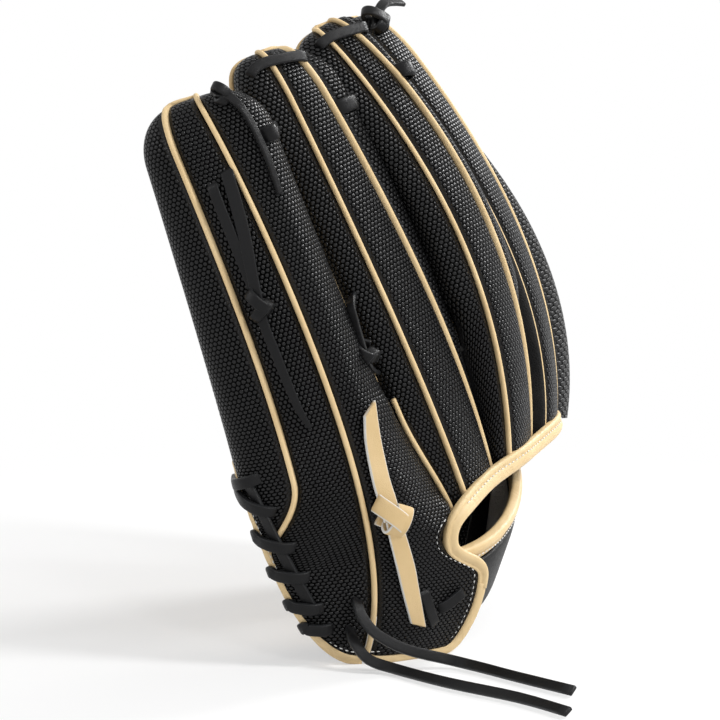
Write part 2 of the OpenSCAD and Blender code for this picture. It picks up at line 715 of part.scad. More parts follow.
// Overhand knot: one closed strand, centred over a stop and turned to face the leather's normal
module knot(stop, reach, strand, turn) {
    knot_at(tube(stop[0], stop[1], stop[2], -stop[3]), tube_normal(stop[0], stop[1], stop[2]),
        along(stop[0], line_at(stop[2])), reach, strand, turn);
}

module knot_at(at, face, up, reach, strand, turn) {
    rings = 24;
    e = unit(cross(up, face));
    g = cross(face, e);
    a = cos(turn) * e + sin(turn) * g;
    b = cos(turn) * g - sin(turn) * e;
    unit_reach = reach / 3;
    function strand_at(s) =
        let (q = 2 + cos(3 * s))
        at + unit_reach * (q * cos(2 * s) * a + q * sin(2 * s) * b + 1.15 * sin(3 * s) * face);
    sides = 6;
    points = [
        for (k = [0 : rings - 1])
            let (s = k * 360 / rings, p = strand_at(s), t = unit(strand_at(s + 1) - strand_at(s - 1)),
                m = unit(cross(t, face)), n = cross(m, t))
            for (c = [0 : sides - 1])
                p + strand / 2 * (cos(c * 360 / sides) * m + sin(c * 360 / sides) * n)
    ];
    faces = [
        for (k = [0 : rings - 1]) for (c = [0 : sides - 1])
            let (p = k * sides + c, q = k * sides + (c + 1) % sides, pn = ((k + 1) % rings) * sides + c,
                qn = ((k + 1) % rings) * sides + (c + 1) % sides)
            each [[p, qn, pn], [p, q, qn]]
    ];
    polyhedron(points, faces, convexity = 8);
}

// Short lace across each slit near the tips, which holds neighbouring fingers together
FINGER_LACE_ROWS = [0.80, 0.80, 0.79];
module finger_lace() {
    color(RAWHIDE) place() for (j = [LITTLE : MIDDLE]) {
        row = FINGER_LACE_ROWS[j];
        laid_lace([[j, 72, row, -1.5], [j, 60, row, 1.6], [j + 1, -60, row, 1.6], [j + 1, -72, row, -1.5]],
            lace_w, lace_h, 2);
    }
}

module index_knot() {
    color(RAWHIDE) place() knot([INDEX, 15, 0.965, 4.5], 7, 3, 20);
}

module index_lace() {
    tail = [[INDEX, 15, 0.95, 4], [INDEX, 10, 0.98, 9], [INDEX, 30, 0.985, 14], [INDEX, 50, 0.98, 20]];
    color(RAWHIDE) place() laid_lace(tail, 3.6, lace_h, 4);
}

module little_tip_knot() {
    color(RAWHIDE) place() knot([LITTLE, 29, 0.91, 4.5], 6.4, 2.8, 0);
}

module little_tip_lace() {
    tail = [[LITTLE, 30, 0.9, 4], [LITTLE, 33, 0.84, 4], [LITTLE, 37, 0.79, 3.4], [LITTLE, 36, 0.735, 2.4]];
    color(RAWHIDE) place() laid_lace(tail, 3.4, lace_h, 4);
}

module little_back_lace() {
    color(RAWHIDE) place() {
        laid_lace([[LITTLE, -10, 0.775, -1.5], [LITTLE, -10, 0.765, 1.5], [LITTLE, -9.5, 0.69, 1.5],
            [LITTLE, -8.5, 0.63, 2.6]], lace_w, lace_h, 3);
        laid_lace([[LITTLE, -1, 0.78, -1.5], [LITTLE, -1, 0.77, 1.5], [LITTLE, -2.5, 0.69, 1.5],
            [LITTLE, -4, 0.63, 2.6]], lace_w, lace_h, 3);
        laid_lace([[LITTLE, -6, 0.60, 2.6], [LITTLE, -5, 0.56, 1.5], [LITTLE, -4, 0.50, 1.5],
            [LITTLE, -1.7, 0.426, 1.5]], lace_w, lace_h, 3);
    }
}

module little_back_knot() {
    color(RAWHIDE) place() knot([LITTLE, -6, 0.618, 5], 7, 3, 70);
}

module slit_lace() {
    list = [[RING, -60, 0.61, -1.5], [RING, -60, 0.6, 1.4], [RING, -62, 0.575, 1.4],
        [RING, -64, 0.545, 2.4]];
    color(RAWHIDE) place() {
        laid_lace(list, 4, lace_h, 4);
        knot([RING, -66, 0.528, 4.6], 6, 2.6, 30);
    }
}

// Lace laid on the wrist leather: each stop is share of the width, row and height above the leather
function wrist_stop(e) = leather_at(LITTLE, 1, e[0], e[1], -e[2]);
function wrist_normal(e) =
    unit(leather_at(LITTLE, 1, e[0], e[1], -1) - leather_at(LITTLE, 1, e[0], e[1], 0));
module wrist_lace(list, w, steps = 3) {
    p = [for (e = list) wrist_stop(e)];
    n = [for (e = list) wrist_normal(e)];
    ribbon(smooth_path(p, steps), smooth_path(n, steps), w, lace_h);
}

TAN_KNOT = [0.19, 0.268, 7];
TAN_UPPER = [[0.45, 0.442, 2], [0.28, 0.373, 1.8], [0.17, 0.31, 2.2], [0.16, 0.285, 3.6]];
TAN_LOWER = [[0.25, 0.25, 3.6], [0.36, 0.23, 1.8], [0.3, 0.144, 1.6], [0.42, 0.075, 1.6]];
module tan_lace() {
    color(TAN) place() {
        wrist_lace(TAN_UPPER, tan_lace_w);
        wrist_lace(TAN_LOWER, tan_lace_w);
    }
}

module tan_knot() {
    color(TAN) place() knot_at(wrist_stop(TAN_KNOT), wrist_normal(TAN_KNOT), [0, 0, 1], 10.5, 4.6, 40);
}

STRAP_STITCHES = [
    [[0.43, 0.14, -1.5], [0.44, 0.128, 1.6], [0.55, 0.09, 1.6], [0.66, 0.06, -1.5]],
    [[0.83, 0.13, -1.5], [0.79, 0.124, 1.6], [0.67, 0.108, 1.6], [0.61, 0.102, -1.5]]
];
module strap_lace() {
    color(RAWHIDE) place() for (list = STRAP_STITCHES) wrist_lace(list, lace_w);
}

// Two long ends of the heel lace, which come out of the heel and lie on the floor
TAIL_UPPER = [[-1, 6, 30], [-1, 0, 29], [1, -4, 24], [7, -6, 17], [20, -6, 10], [40, -2, 4], [54, -12, 3],
    [68, -27, 3], [91, -50, 3]];
TAIL_LOWER = [[-4, 7, 17], [-4, 0, 16], [-2, -5, 12], [4, -9, 6], [15, -13, 3], [38, -37, 3], [67, -61, 3],
    [87, -84, 3]];
module heel_tail(route) {
    p = smooth_path(route, 3);
    n = [for (q = p) [0.35, -0.85, 0.4]];
    color(RAWHIDE) place() ribbon(p, n, lace_w, lace_h);
}

back_leather(LITTLE, -1);  // little_outer
back_leather(LITTLE, 0, cols = 5);  // little_back
back_leather(LITTLE, 1, cols = 5, body = 22);  // little_inner
back_leather(RING, -1);  // ring_outer
back_leather(RING, 0);  // ring_back
back_leather(RING, 1);  // ring_inner
back_leather(MIDDLE, -1);  // middle_outer
back_leather(MIDDLE, 0);  // middle_back
back_leather(MIDDLE, 1);  // middle_inner
back_leather(INDEX, -1);  // index_outer
back_leather(INDEX, 0);  // index_back
back_leather(INDEX, 1);  // index_inner
back_leather(THUMB, -1);  // thumb_web_side
back_leather(THUMB, 0);  // thumb_back
back_leather(THUMB, 1);  // thumb_free_side
welt(LITTLE, -1);  // little_welt_outer
welt(LITTLE, 1);  // little_welt_inner
welt(RING, -1);  // ring_welt_outer
welt(RING, 1);  // ring_welt_inner
welt(MIDDLE, -1);  // middle_welt_outer
welt(MIDDLE, 1);  // middle_welt_inner
welt(INDEX, -1);  // index_welt_outer
welt(INDEX, 1);  // index_welt_inner
welt(THUMB, -1);  // thumb_welt_outer
welt(THUMB, 1);  // thumb_welt_inner
valley_welt();
palm_leather(LITTLE);  // little_palm
palm_leather(RING);  // ring_palm
palm_leather(MIDDLE);  // middle_palm
palm_leather(INDEX);  // index_palm
palm_leather(THUMB);  // thumb_palm
palm_lining();
little_heel_pad();
thumb_heel_pad();
heel_binding();
wrist_binding();
rim_binding();
thumb_binding();
wrist_strap();
strap_binding();
web_top();
web_post();
web_base();
web_laces();
heel_lace();
thumb_heel_lace();
tip_lace();
finger_lace();
index_knot();
index_lace();
little_tip_knot();
little_tip_lace();
little_back_lace();
little_back_knot();
slit_lace();
tan_lace();
tan_knot();
strap_lace();
heel_tail(TAIL_UPPER);  // heel_tail_upper
heel_tail(TAIL_LOWER);  // heel_tail_lower
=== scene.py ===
"""Looks of a left-hand fielder's glove that stands on its heel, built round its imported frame.

Every surface follows the same curved finger tubes as the solids do, in millimetres of the
drawing; row_frame turns those into metres of the row frame.
"""

from __future__ import annotations

import logging
import math
from dataclasses import dataclass, field
from enum import Enum, IntEnum
from typing import Callable, Sequence

import bmesh
import bpy
import numpy as np
from mathutils import Matrix, Vector

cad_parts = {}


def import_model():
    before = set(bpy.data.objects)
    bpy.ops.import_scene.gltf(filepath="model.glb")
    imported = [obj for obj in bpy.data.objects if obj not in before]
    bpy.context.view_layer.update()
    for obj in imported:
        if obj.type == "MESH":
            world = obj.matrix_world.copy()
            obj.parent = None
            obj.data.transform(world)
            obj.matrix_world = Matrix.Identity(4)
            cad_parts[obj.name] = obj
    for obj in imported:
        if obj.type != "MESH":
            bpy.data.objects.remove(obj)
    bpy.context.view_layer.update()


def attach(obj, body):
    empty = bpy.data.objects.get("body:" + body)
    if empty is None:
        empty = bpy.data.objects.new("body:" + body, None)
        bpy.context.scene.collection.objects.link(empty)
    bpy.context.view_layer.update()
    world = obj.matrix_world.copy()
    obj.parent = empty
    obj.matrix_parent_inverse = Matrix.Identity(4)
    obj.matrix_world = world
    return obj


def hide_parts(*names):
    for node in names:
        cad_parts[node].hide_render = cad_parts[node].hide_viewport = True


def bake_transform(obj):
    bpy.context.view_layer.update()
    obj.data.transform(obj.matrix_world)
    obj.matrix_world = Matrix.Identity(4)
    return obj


log = logging.getLogger("glove")

Array = np.ndarray
Triple = tuple[float, float, float]

MM = 0.001
CUT_SCALE = 0.1
LEAST_HEIGHT = 0.05
FLOOR_CENTRE = np.array([-0.3, 108.4, 0.0])


class Body(str, Enum):
    """Rigid bodies of the frame."""

    GLOVE = "glove"
    THUMB = "thumb"


class Slot(str, Enum):
    """Material slots of the record."""

    BLACK = "black_leather"
    TAN = "tan_leather"
    LACE = "rawhide_lace"
    LINING = "lining"
    FELT = "felt"


class Stall(IntEnum):
    """Fingers of the glove, from the little finger round to the thumb."""

    LITTLE = 0
    RING = 1
    MIDDLE = 2
    INDEX = 3
    THUMB = 4

    @property
    def word(self) -> str:
        """Its part in the names of its pieces."""
        return self.name.lower()

    @property
    def body(self) -> Body:
        """What its pieces ride on."""
        return Body.THUMB if self == Stall.THUMB else Body.GLOVE

    @property
    def bound(self) -> bool:
        """Whether a binding closes its lower edge."""
        return self in (Stall.LITTLE, Stall.THUMB)


class Side(IntEnum):
    """The three leathers on the back of a finger."""

    OUTER = -1
    BACK = 0
    INNER = 1


# Numbers and vectors


def lerp(a: Array, b: Array, f: Array) -> Array:
    """Straight blend from a to b."""
    return a + (b - a) * f


def clamp01(x: Array) -> Array:
    """x held between 0 and 1."""
    return np.clip(x, 0.0, 1.0)


def smooth(x: Array) -> Array:
    """Soft step from 0 to 1."""
    c = clamp01(x)
    return c * c * (3 - 2 * c)


def quad3(q: Triple, t: Array) -> Array:
    """Curve through three values at t = 0, 0.5 and 1."""
    return q[0] * (1 - t) * (1 - 2 * t) + q[1] * 4 * t * (1 - t) + q[2] * t * (2 * t - 1)


def power(x: Array, p: float) -> Array:
    """Power that keeps the sign of x."""
    return np.sign(x) * np.abs(x) ** p


def unit(v: Array) -> Array:
    """Vectors scaled to length 1."""
    return v / np.maximum(np.linalg.norm(v, axis=-1, keepdims=True), 1e-9)


def wide(x: Array) -> Array:
    """A number for each vector, ready to multiply it."""
    return np.asarray(x, float)[..., None]


def grids(*values: Array) -> tuple[Array, ...]:
    """Numbers as arrays of one common shape."""
    return tuple(np.broadcast_arrays(*(np.asarray(x, float) for x in values)))


def with_normals(path: Array, normals: Array) -> Array:
    """Points of a line with their normals beside them."""
    return np.concatenate([path, normals], axis=1)


def bisect(g: Callable[[Array], Array], low: Array, high: Array, turns: int = 26) -> Array:
    """Where a rising function crosses zero.

    Args:
        g: Function of one number for each place.
        low: Lowest value for each place.
        high: Highest value for each place.
        turns: Number of halvings.

    Returns:
        The crossing for each place.
    """
    low, high = (x.copy() for x in grids(low, high))
    for _ in range(turns):
        mid = (low + high) / 2
        above = g(mid) > 0
        high = np.where(above, mid, high)
        low = np.where(above, low, mid)
    return (low + high) / 2


def bezier(p: Sequence[Array], t: Array) -> Array:
    """Cubic curve through its four control points."""
    t = wide(t)
    r = 1 - t
    return r**3 * p[0] + 3 * t * r**2 * p[1] + 3 * t * t * r * p[2] + t**3 * p[3]


def flowing(points: Array, steps: int) -> Array:
    """Smooth line through points.

    Args:
        points: The points in order.
        steps: New points for each stretch.

    Returns:
        The points of the line.
    """
    p = np.asarray(points, float)
    padded = np.concatenate([p[:1], p, p[-1:]])
    f = wide(np.arange(steps) / steps)
    made = []
    for a, b, c, d in zip(padded, padded[1:], padded[2:], padded[3:]):
        line = 2 * b + (c - a) * f
        line = line + (2 * a - 5 * b + 4 * c - d) * f**2
        line = line + (3 * b - a - 3 * c + d) * f**3
        made.append(0.5 * line)
    return np.concatenate([*made, p[-1:]])


def run_of(points: Array) -> Array:
    """Distance along a line of points, from 0."""
    steps = np.linalg.norm(np.diff(points, axis=0), axis=1)
    return np.concatenate([[0.0], np.cumsum(steps)])


def runs_across(points: Array) -> Array:
    """Distance along each row of a grid of points, from 0."""
    steps = np.linalg.norm(np.diff(points, axis=1), axis=2)
    return np.concatenate([np.zeros((len(points), 1)), np.cumsum(steps, axis=1)], axis=1)


def evenly(points: Array, spacing: float) -> Array:
    """Points at an even spacing along a line.

    Args:
        points: Line, with any further numbers in later columns.
        spacing: Wanted distance between points.

    Returns:
        The same line, drawn again at that spacing.
    """
    run = run_of(points[:, :3])
    count = max(2, int(round(run[-1] / spacing)) + 1)
    at = np.linspace(0, run[-1], count)
    return np.stack([np.interp(at, run, column) for column in points.T], axis=1)


# Shape of the glove


@dataclass(frozen=True)
class Finger:
    """One finger: a curved tube, in millimetres and degrees."""

    root: Triple
    bend: Triple
    tip: Triple
    facing: tuple[float, float]
    left: Triple
    right: Triple
    back: Triple
    front: Triple
    welt_left: Triple
    welt_right: Triple
    closes_at_heel: bool = False
    shoulder: tuple[float, float] = (0.0, 0.0)


FINGERS = (
    Finger((-7, 30, 3), (-2, 12, 93), (-73, 36, 252), (8, 0), (29, 39, 30), (68, 33, 27),
           (24, 20, 15), (24, 18, 13), (-24, -20, -31), (2, 13, 0), True, (-1.0, -7.0)),
    Finger((48, 60, 5), (46, 51, 98), (-42, 64, 261), (62, 38), (24, 24, 22), (24, 24, 21),
           (18, 18, 14), (36, 19, 13), (2, -24, -8), (52, 42, 27), shoulder=(9.5, -0.5)),
    Finger((47, 85, 5), (88, 86, 150), (-9, 97, 272), (76, 46), (24, 24, 31), (23, 20, 15),
           (18, 17, 13), (30, 18, 13), (-24, -36, -28), (50, 21, -5), shoulder=(10.5, 0.0)),
    Finger((40, 108, 5), (125, 124, 110), (-5, 138, 271), (84, 62), (21, 17, 18), (24, 24, 16),
           (18, 17, 13), (22, 19, 13), (-33, -33, -26), (33, 33, 34), shoulder=(5.0, -2.0)),
    Finger((22, 144, 3), (62, 206, 92), (-25, 212, 205), (140, 165), (32, 28, 22), (32, 28, 22),
           (22, 18, 13), (24, 18, 13), (-30, -30, -24), (30, 30, 24), True),
)


@dataclass(frozen=True)
class Pattern:
    """The cut of the glove: surfaces that all its pieces lie on, in millimetres of the drawing."""

    leather: float = 3.0
    welt_gap: float = 1.35
    body_rows: float = 0.82
    body_line: float = 0.93
    tip_turn: float = 78.0
    tip_fullness: float = 0.6
    section_power: float = 0.8
    side_angle: float = 101.0
    palm_angle: float = 103.0
    valley_angle: float = 75.0
    crotch: tuple[float, ...] = (0.52, 0.56, 0.56, 0.36)
    crotch_blend: float = 0.08
    hook_start: float = 0.40
    hook_turn: float = 390.0
    join_low: float = 58.0
    join_high: float = 70.0
    wrist_slope: float = 0.75
    wrist_round: float = 15.0
    tongue_fade: float = 8.5
    tongue_x: float = 52.5
    tongue_z: float = 36.0
    rim_left: float = 35.0
    rim_right: float = 89.0
    rim_low: float = 53.0
    rim_rise: float = 34.0
    heel_right_x: float = 37.0
    heel_rise: float = 85.0
    heel_run: float = 55.0
    heel_power: float = 1.95
    thumb_rise: float = 50.0
    thumb_power: float = 1.8
    valley_share: tuple[float, ...] = (0.6, 0.5, 0.5)
    valley_lean: tuple[float, float] = (2.2, 7.0)
    tuck: float = 1.8
    bound_lift: float = 1.7
    bound_top: float = 4.2
    palm_arch: float = 9.0
    straight_seams: float = 0.7
    last_row: float = 1.0265
    lower_rows: float = 0.6
    pinch: Triple = (0.3, 0.3, 0.7)
    shoulder_width: float = 25.0
    shoulder_rows: tuple[float, float] = (0.66, 0.3)
    farthest_welt: float = -95.0
    widest_welt: float = 0.985
    slit_gap: float = 0.25
    lean_rows: tuple[tuple[float, float], ...] = ((0.56, 0.14), (0.42, 0.18))
    lean_way: Triple = (1.0, 0.55, 0.0)

    def tip_angle(self, v: Array) -> Array:
        """Turn of the rounded tip at row v."""
        return self.tip_turn * np.maximum(0.0, (v - self.body_rows) / (1 - self.body_rows))

    def line_at(self, v: Array) -> Array:
        """Place along the finger's centre line at row v."""
        v = np.asarray(v, float)
        rounded = self.body_line + (1 - self.body_line) * np.sin(np.radians(self.tip_angle(v)))
        return np.where(v < self.body_rows, v / self.body_rows * self.body_line, rounded)

    def fullness(self, v: Array) -> Array:
        """Share of the full section at row v."""
        turn = np.minimum(self.tip_angle(np.asarray(v, float)), 89.9)
        return np.cos(np.radians(turn)) ** self.tip_fullness

    def centre(self, i: int, t: Array) -> Array:
        """Centre line of finger i."""
        t = wide(t)
        root, bend, tip = (np.array(p) for p in (FINGERS[i].root, FINGERS[i].bend, FINGERS[i].tip))
        return (1 - t) ** 2 * root + 2 * t * (1 - t) * bend + t * t * tip

    def along(self, i: int, t: Array) -> Array:
        """Direction of the centre line."""
        f, t = FINGERS[i], wide(t)
        bend = np.array(f.bend, float)
        return unit((1 - t) * (bend - np.array(f.root)) + t * (np.array(f.tip) - bend))

    def outward(self, i: int, t: Array) -> Array:
        """Direction that the back of finger i faces."""
        turn = np.radians(lerp(*FINGERS[i].facing, np.asarray(t, float)))
        h = np.stack([np.sin(turn), -np.cos(turn), np.zeros_like(turn)], axis=-1)
        k = self.along(i, t)
        return unit(h - wide(np.sum(h * k, axis=-1)) * k)

    def sideways(self, i: int, t: Array) -> Array:
        """Direction across finger i."""
        return np.cross(self.along(i, t), self.outward(i, t))

    def tube(self, i: int, th: Array, v: Array, off: Array = 0.0) -> Array:
        """Point of finger i.

        Args:
            i: Finger.
            th: Degrees round it from the middle of its back.
            v: Row along it.
            off: Depth under the surface.

        Returns:
            The points.
        """
        f = FINGERS[i]
        th, v, off = grids(th, v, off)
        t, full = self.line_at(v), self.fullness(v)
        s, c = np.sin(np.radians(th)), np.cos(np.radians(th))
        least, reach, rise = self.pinch
        pinch = least + (1 - least) * clamp01(t / reach) ** rise if f.closes_at_heel else 1.0
        a = np.where(s < 0, quad3(f.left, t), quad3(f.right, t)) * full - off
        b = np.where(c > 0, quad3(f.back, t), quad3(f.front, t) * pinch) * full - off
        across = a * power(s, self.section_power)
        low, high = f.shoulder
        first, run = self.shoulder_rows
        tilt = (low + high) / 2 + (high - low) / 2 * across / self.shoulder_width
        raised = tilt * smooth((v - first) / run)
        return (
            self.centre(i, t)
            + wide(raised) * self.along(i, t)
            + wide(across) * self.sideways(i, t)
            + wide(b * power(c, self.section_power)) * self.outward(i, t)
        )

    def tube_normal(self, i: int, th: Array, v: Array) -> Array:
        """Direction out of the finger's surface."""
        return unit(self.tube(i, th, v, -1.0) - self.tube(i, th, v))

    def welt_angle(self, i: int, side: int, v: Array) -> Array:
        """Angle of a welt at row v."""
        t = self.line_at(v)
        angle = quad3(FINGERS[i].welt_left if side < 0 else FINGERS[i].welt_right, t)
        if i == Stall.LITTLE and side < 0:
            hook = np.maximum(0.0, (self.hook_start - t) / self.hook_start)
            angle = angle - self.hook_turn * hook**2
        angle = np.maximum(self.farthest_welt, angle)
        spread = np.abs(np.sin(np.radians(angle))) ** self.section_power
        spread = np.minimum(spread * self.fullness(v) ** -self.straight_seams, self.widest_welt)
        straight = np.degrees(np.arcsin(spread ** (1 / self.section_power)))
        return np.where(np.asarray(v) > self.body_rows, np.sign(angle) * straight, angle)

    def seam_angle(self, i: int, side: int, v: Array) -> Array:
        """Angle between a welt's middle and the leather's edge beside it."""
        w = self.welt_angle(i, side, v)
        per_degree = np.linalg.norm(self.tube(i, w + 1, v) - self.tube(i, w - 1, v), axis=-1) / 2
        return self.welt_gap / np.maximum(per_degree, 0.05)

    def joined(self, j: int, v: Array) -> Array:
        """How far finger j and the next have joined on the back."""
        if not 0 <= j <= 2:
            return np.zeros_like(np.asarray(v, float))
        return self.palm_joined(j, v)

    def palm_joined(self, j: int, v: Array) -> Array:
        """How far finger j and the next have joined on the palm."""
        return smooth((self.crotch[j] - self.line_at(v)) / self.crotch_blend)

    def valley(self, j: int, v: Array, off: Array = 0.0) -> Array:
        """Line between finger j and the next."""
        a = self.tube(j, self.valley_angle, v, off)
        b = self.tube(j + 1, -self.valley_angle, v, off)
        p = lerp(a, b, self.valley_share[j])
        if j:
            return p
        v = np.asarray(v, float)
        steps = zip(self.valley_lean, self.lean_rows)
        lean = sum(far * smooth((row - v) / run) for far, (row, run) in steps)
        return p + wide(lean) * np.array(self.lean_way)

    def gusset(self, i: int, side: int, f: Array, v: Array, off: Array) -> Array:
        """Leather beside a welt, from the welt at f = 0 to the finger's side at f = 1."""
        j = i if side > 0 else i - 1
        w = self.joined(j, v)
        start = self.welt_angle(i, side, v) + side * self.seam_angle(i, side, v)
        end = side * lerp(self.side_angle, self.valley_angle, w)
        p = self.tube(i, lerp(start, end, f), v, off)
        if not 0 <= j <= 2:
            return p
        t = self.line_at(v)
        across = unit(self.sideways(j, t) + self.sideways(j + 1, t))
        gap = self.welt_gap if j == 0 else self.slit_gap
        pull = self.valley(j, v, off) - side * gap * across - self.tube(i, end, v, off)
        return p + wide(w * f * f) * pull

    def opening_edge(self, z: Array) -> Array:
        """Right edge of the wrist leather at height z."""
        under = np.maximum(self.tongue_z - z, 0) / self.tongue_z
        low = self.tongue_x - (self.tongue_x - self.heel_right_x) * under**2
        beside = np.exp(-(((z - self.tongue_z) / self.tongue_fade) ** 2))
        notch = self.rim_left + (self.tongue_x - self.rim_left) * beside
        over = np.maximum(z - self.rim_low, 0) / self.rim_rise
        high = self.rim_left + (self.rim_right - self.rim_left) * over**2
        return np.where(z < self.tongue_z, low, np.where(z < self.rim_low, notch, high))

    def inner_welt(self, v: Array) -> Array:
        """Line of the little finger's inner welt."""
        return self.tube(Stall.LITTLE, self.welt_angle(Stall.LITTLE, 1, v), v)

    def flap(self, x: Array, v: Array, off: Array = 0.0) -> Array:
        """Wrist leather at x, in row v."""
        w = self.inner_welt(v)
        d = x - w[..., 0]
        reach = np.hypot(d, self.wrist_round)
        n = np.stack([self.wrist_slope * d / reach, -np.ones_like(d), np.zeros_like(d)], axis=-1)
        deep = w[..., 1] + self.wrist_slope * (reach - self.wrist_round)
        return np.stack([x, deep, w[..., 2]], axis=-1) - wide(off) * unit(n)

    def flap_row(self, z: Array) -> Array:
        """Row of the wrist leather at height z."""
        return bisect(lambda v: self.inner_welt(v)[..., 2] - z, np.zeros_like(z), self.lower_rows)

    def flap_normal(self, x: Array, v: Array) -> Array:
        """Direction out of the wrist leather."""
        return unit(self.flap(x, v, -1.0) - self.flap(x, v))

    def wrist_leather(self, f: Array, v: Array, off: Array) -> Array:
        """Inner leather of the little finger, which widens into the wrist flap."""
        w = self.inner_welt(v)
        left = w[..., 0] + self.welt_gap
        low = self.flap(lerp(left, self.opening_edge(w[..., 2]) + self.tuck, f), v, off)
        share = smooth((w[..., 2] - self.join_low) / (self.join_high - self.join_low))
        return lerp(low, self.gusset(Stall.LITTLE, 1, f, v, off), wide(share))

    def leather_at(self, i: int, side: int, f: Array, v: Array, off: Array = 0.0) -> Array:
        """Point of one of a finger's three back leathers."""
        f, v, off = grids(f, v, off)
        if side == 0:
            left = self.welt_angle(i, -1, v) + self.seam_angle(i, -1, v)
            right = self.welt_angle(i, 1, v) - self.seam_angle(i, 1, v)
            return self.tube(i, lerp(left, right, f), v, off)
        if i == Stall.LITTLE and side == 1:
            return self.wrist_leather(f, v, off)
        return self.gusset(i, side, f, v, off)

    def leather_normal(self, i: int, side: int, f: Array, v: Array) -> Array:
        """Direction out of a back leather."""
        return unit(self.leather_at(i, side, f, v, -1.0) - self.leather_at(i, side, f, v))

    def heel_z(self, x: Array) -> Array:
        """Height of the heel's edge at x."""
        beside = np.maximum(-np.asarray(x, float), 0) / self.heel_run
        return self.heel_rise * beside**self.heel_power

    def edge_z(self, i: int, side: int, f: Array, p: Array) -> Array:
        """Height of a leather's lower edge."""
        if i == Stall.LITTLE:
            return self.heel_z(p[..., 0])
        if i == Stall.THUMB:
            return self.thumb_rise * f**self.thumb_power if side > 0 else np.zeros_like(f)
        share = np.maximum(0, (p[..., 0] - self.rim_left) / (self.rim_right - self.rim_left))
        return self.rim_low + self.rim_rise * np.sqrt(share)

    def low_row(self, i: int, side: int, f: Array, lift: float) -> Array:
        """Row where a leather is lift above its lower edge."""
        f = np.asarray(f, float)

        def above(v: Array) -> Array:
            """Height over the wanted line."""
            p = self.leather_at(i, side, f, v)
            return p[..., 2] - self.edge_z(i, side, f, p) - lift

        return bisect(above, np.zeros_like(f), self.lower_rows)

    def palm_at(self, i: int, k: Array, v: Array, off: Array = 0.0) -> Array:
        """Palm leather of finger i, from its inner side at k = -1 to its outer side at k = 1."""
        k, v, off = grids(k, v, off)
        own = self.tube(i, 180 - (180 - self.palm_angle) * k, v, off)
        middle = self.tube(i, np.full_like(v, 180.0), v, off)
        neighbours = ((i, i + 1, np.maximum(k, 0)), (i - 1, i - 1, np.maximum(-k, 0)))
        for j, other, reach in neighbours:
            if not 0 <= j <= 3:
                continue
            beyond = self.tube(other, np.full_like(v, 180.0), v, off)
            flat = lerp(middle, beyond, wide(reach / 2))
            drawn = lerp(own, flat, wide(self.palm_joined(j, v)))
            own = np.where(wide(reach) > 0, drawn, own)
        return own

    def palm_low(self, i: int, k: Array) -> Array:
        """Lowest row of the palm leather."""
        k = np.asarray(k, float)

        def above(v: Array) -> Array:
            """Height over the palm's lower edge."""
            p = self.palm_at(i, k, v)
            edge = np.full_like(k, self.palm_arch)
            if i == Stall.LITTLE:
                edge = np.where(k <= 0, self.heel_z(p[..., 0]) + self.bound_top, edge)
            if i == Stall.THUMB:
                rise = self.thumb_rise * np.maximum(k, 0) ** self.thumb_power
                edge = np.where(k >= 0, self.bound_top + rise, edge)
            return p[..., 2] - edge

        return bisect(above, np.zeros_like(k), self.lower_rows)


CUT = Pattern()


def rows_from(low: Array, count: int, body: float = 0.8) -> Array:
    """Rows of a leather from its lower edge to the closed finger tip.

    Args:
        low: Lowest row of each column.
        count: Number of steps.
        body: Share of the steps below the rounded tip.

    Returns:
        Row values, one line for each step.
    """
    r = np.linspace(0, 1, count + 1)[:, None]
    below = lerp(low[None, :], CUT.body_rows, np.minimum(r / body, 1))
    tip = lerp(CUT.body_rows, CUT.last_row, np.maximum(r - body, 0) / (1 - body))
    return np.where(r <= body, below, tip)


# Meshes


def row_frame(points: Array) -> Array:
    """Points of the drawing in metres of the row frame."""
    return (points - FLOOR_CENTRE) * MM


@dataclass
class Piece:
    """One finished piece and how it belongs to the frame."""

    thing: bpy.types.Object
    slot: Slot
    nodes: tuple[str, ...]
    body: Body = Body.GLOVE

    def settle(self) -> bpy.types.Object:
        """Lets the piece ride on its body in place of its solids."""
        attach(self.thing, self.body.value)
        return self.name_it()

    def bend(self, start: Array, end: Array) -> bpy.types.Object:
        """Bakes the piece's place into its mesh and hides the solids that it stands for."""
        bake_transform(self.thing)
        return self.name_it()

    def name_it(self) -> bpy.types.Object:
        """Hides the solids that the piece stands for and logs its faces."""
        if self.nodes:
            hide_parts(*self.nodes)
        log.info("%s: %d faces", self.thing.name, len(self.thing.data.polygons))
        return self.thing


class Lattice:
    """A grid of faces laid over points, with its cut in millimetres as its UV map."""

    def __init__(
        self, points: Array, cut: Array | None = None, masks: dict[str, Array] | None = None
    ) -> None:
        """Keeps the points of rows and columns, their cut and any masks."""
        self.points = points
        self.cut = self.arcs(points) if cut is None else cut
        self.masks = masks or {}

    @staticmethod
    def arcs(points: Array) -> Array:
        """Distances across and along a grid of points, from its middle column."""
        across = runs_across(points)
        middle = points.shape[1] // 2
        across = across - across[:, middle : middle + 1]
        down = run_of(points[:, middle])
        return np.stack([across, np.broadcast_to(down[:, None], across.shape)], axis=-1)

    def mesh(self) -> bmesh.types.BMesh:
        """The grid as a bmesh, with UV map and masks."""
        rows, cols = self.points.shape[0] - 1, self.points.shape[1] - 1
        bm = bmesh.new()
        uv = bm.loops.layers.uv.new("Cut")
        layers = {name: bm.verts.layers.float.new(name) for name in self.masks}
        bmesh.ops.create_grid(bm, x_segments=cols, y_segments=rows, size=0.5, calc_uvs=True)
        placed = row_frame(self.points)
        for vert in bm.verts:
            c, r = round((vert.co.x + 0.5) * cols), round((vert.co.y + 0.5) * rows)
            for name, layer in layers.items():
                vert[layer] = float(self.masks[name][r, c])
            for loop in vert.link_loops:
                loop[uv].uv = self.cut[r, c] * CUT_SCALE
            vert.co = placed[r, c]
        return bm


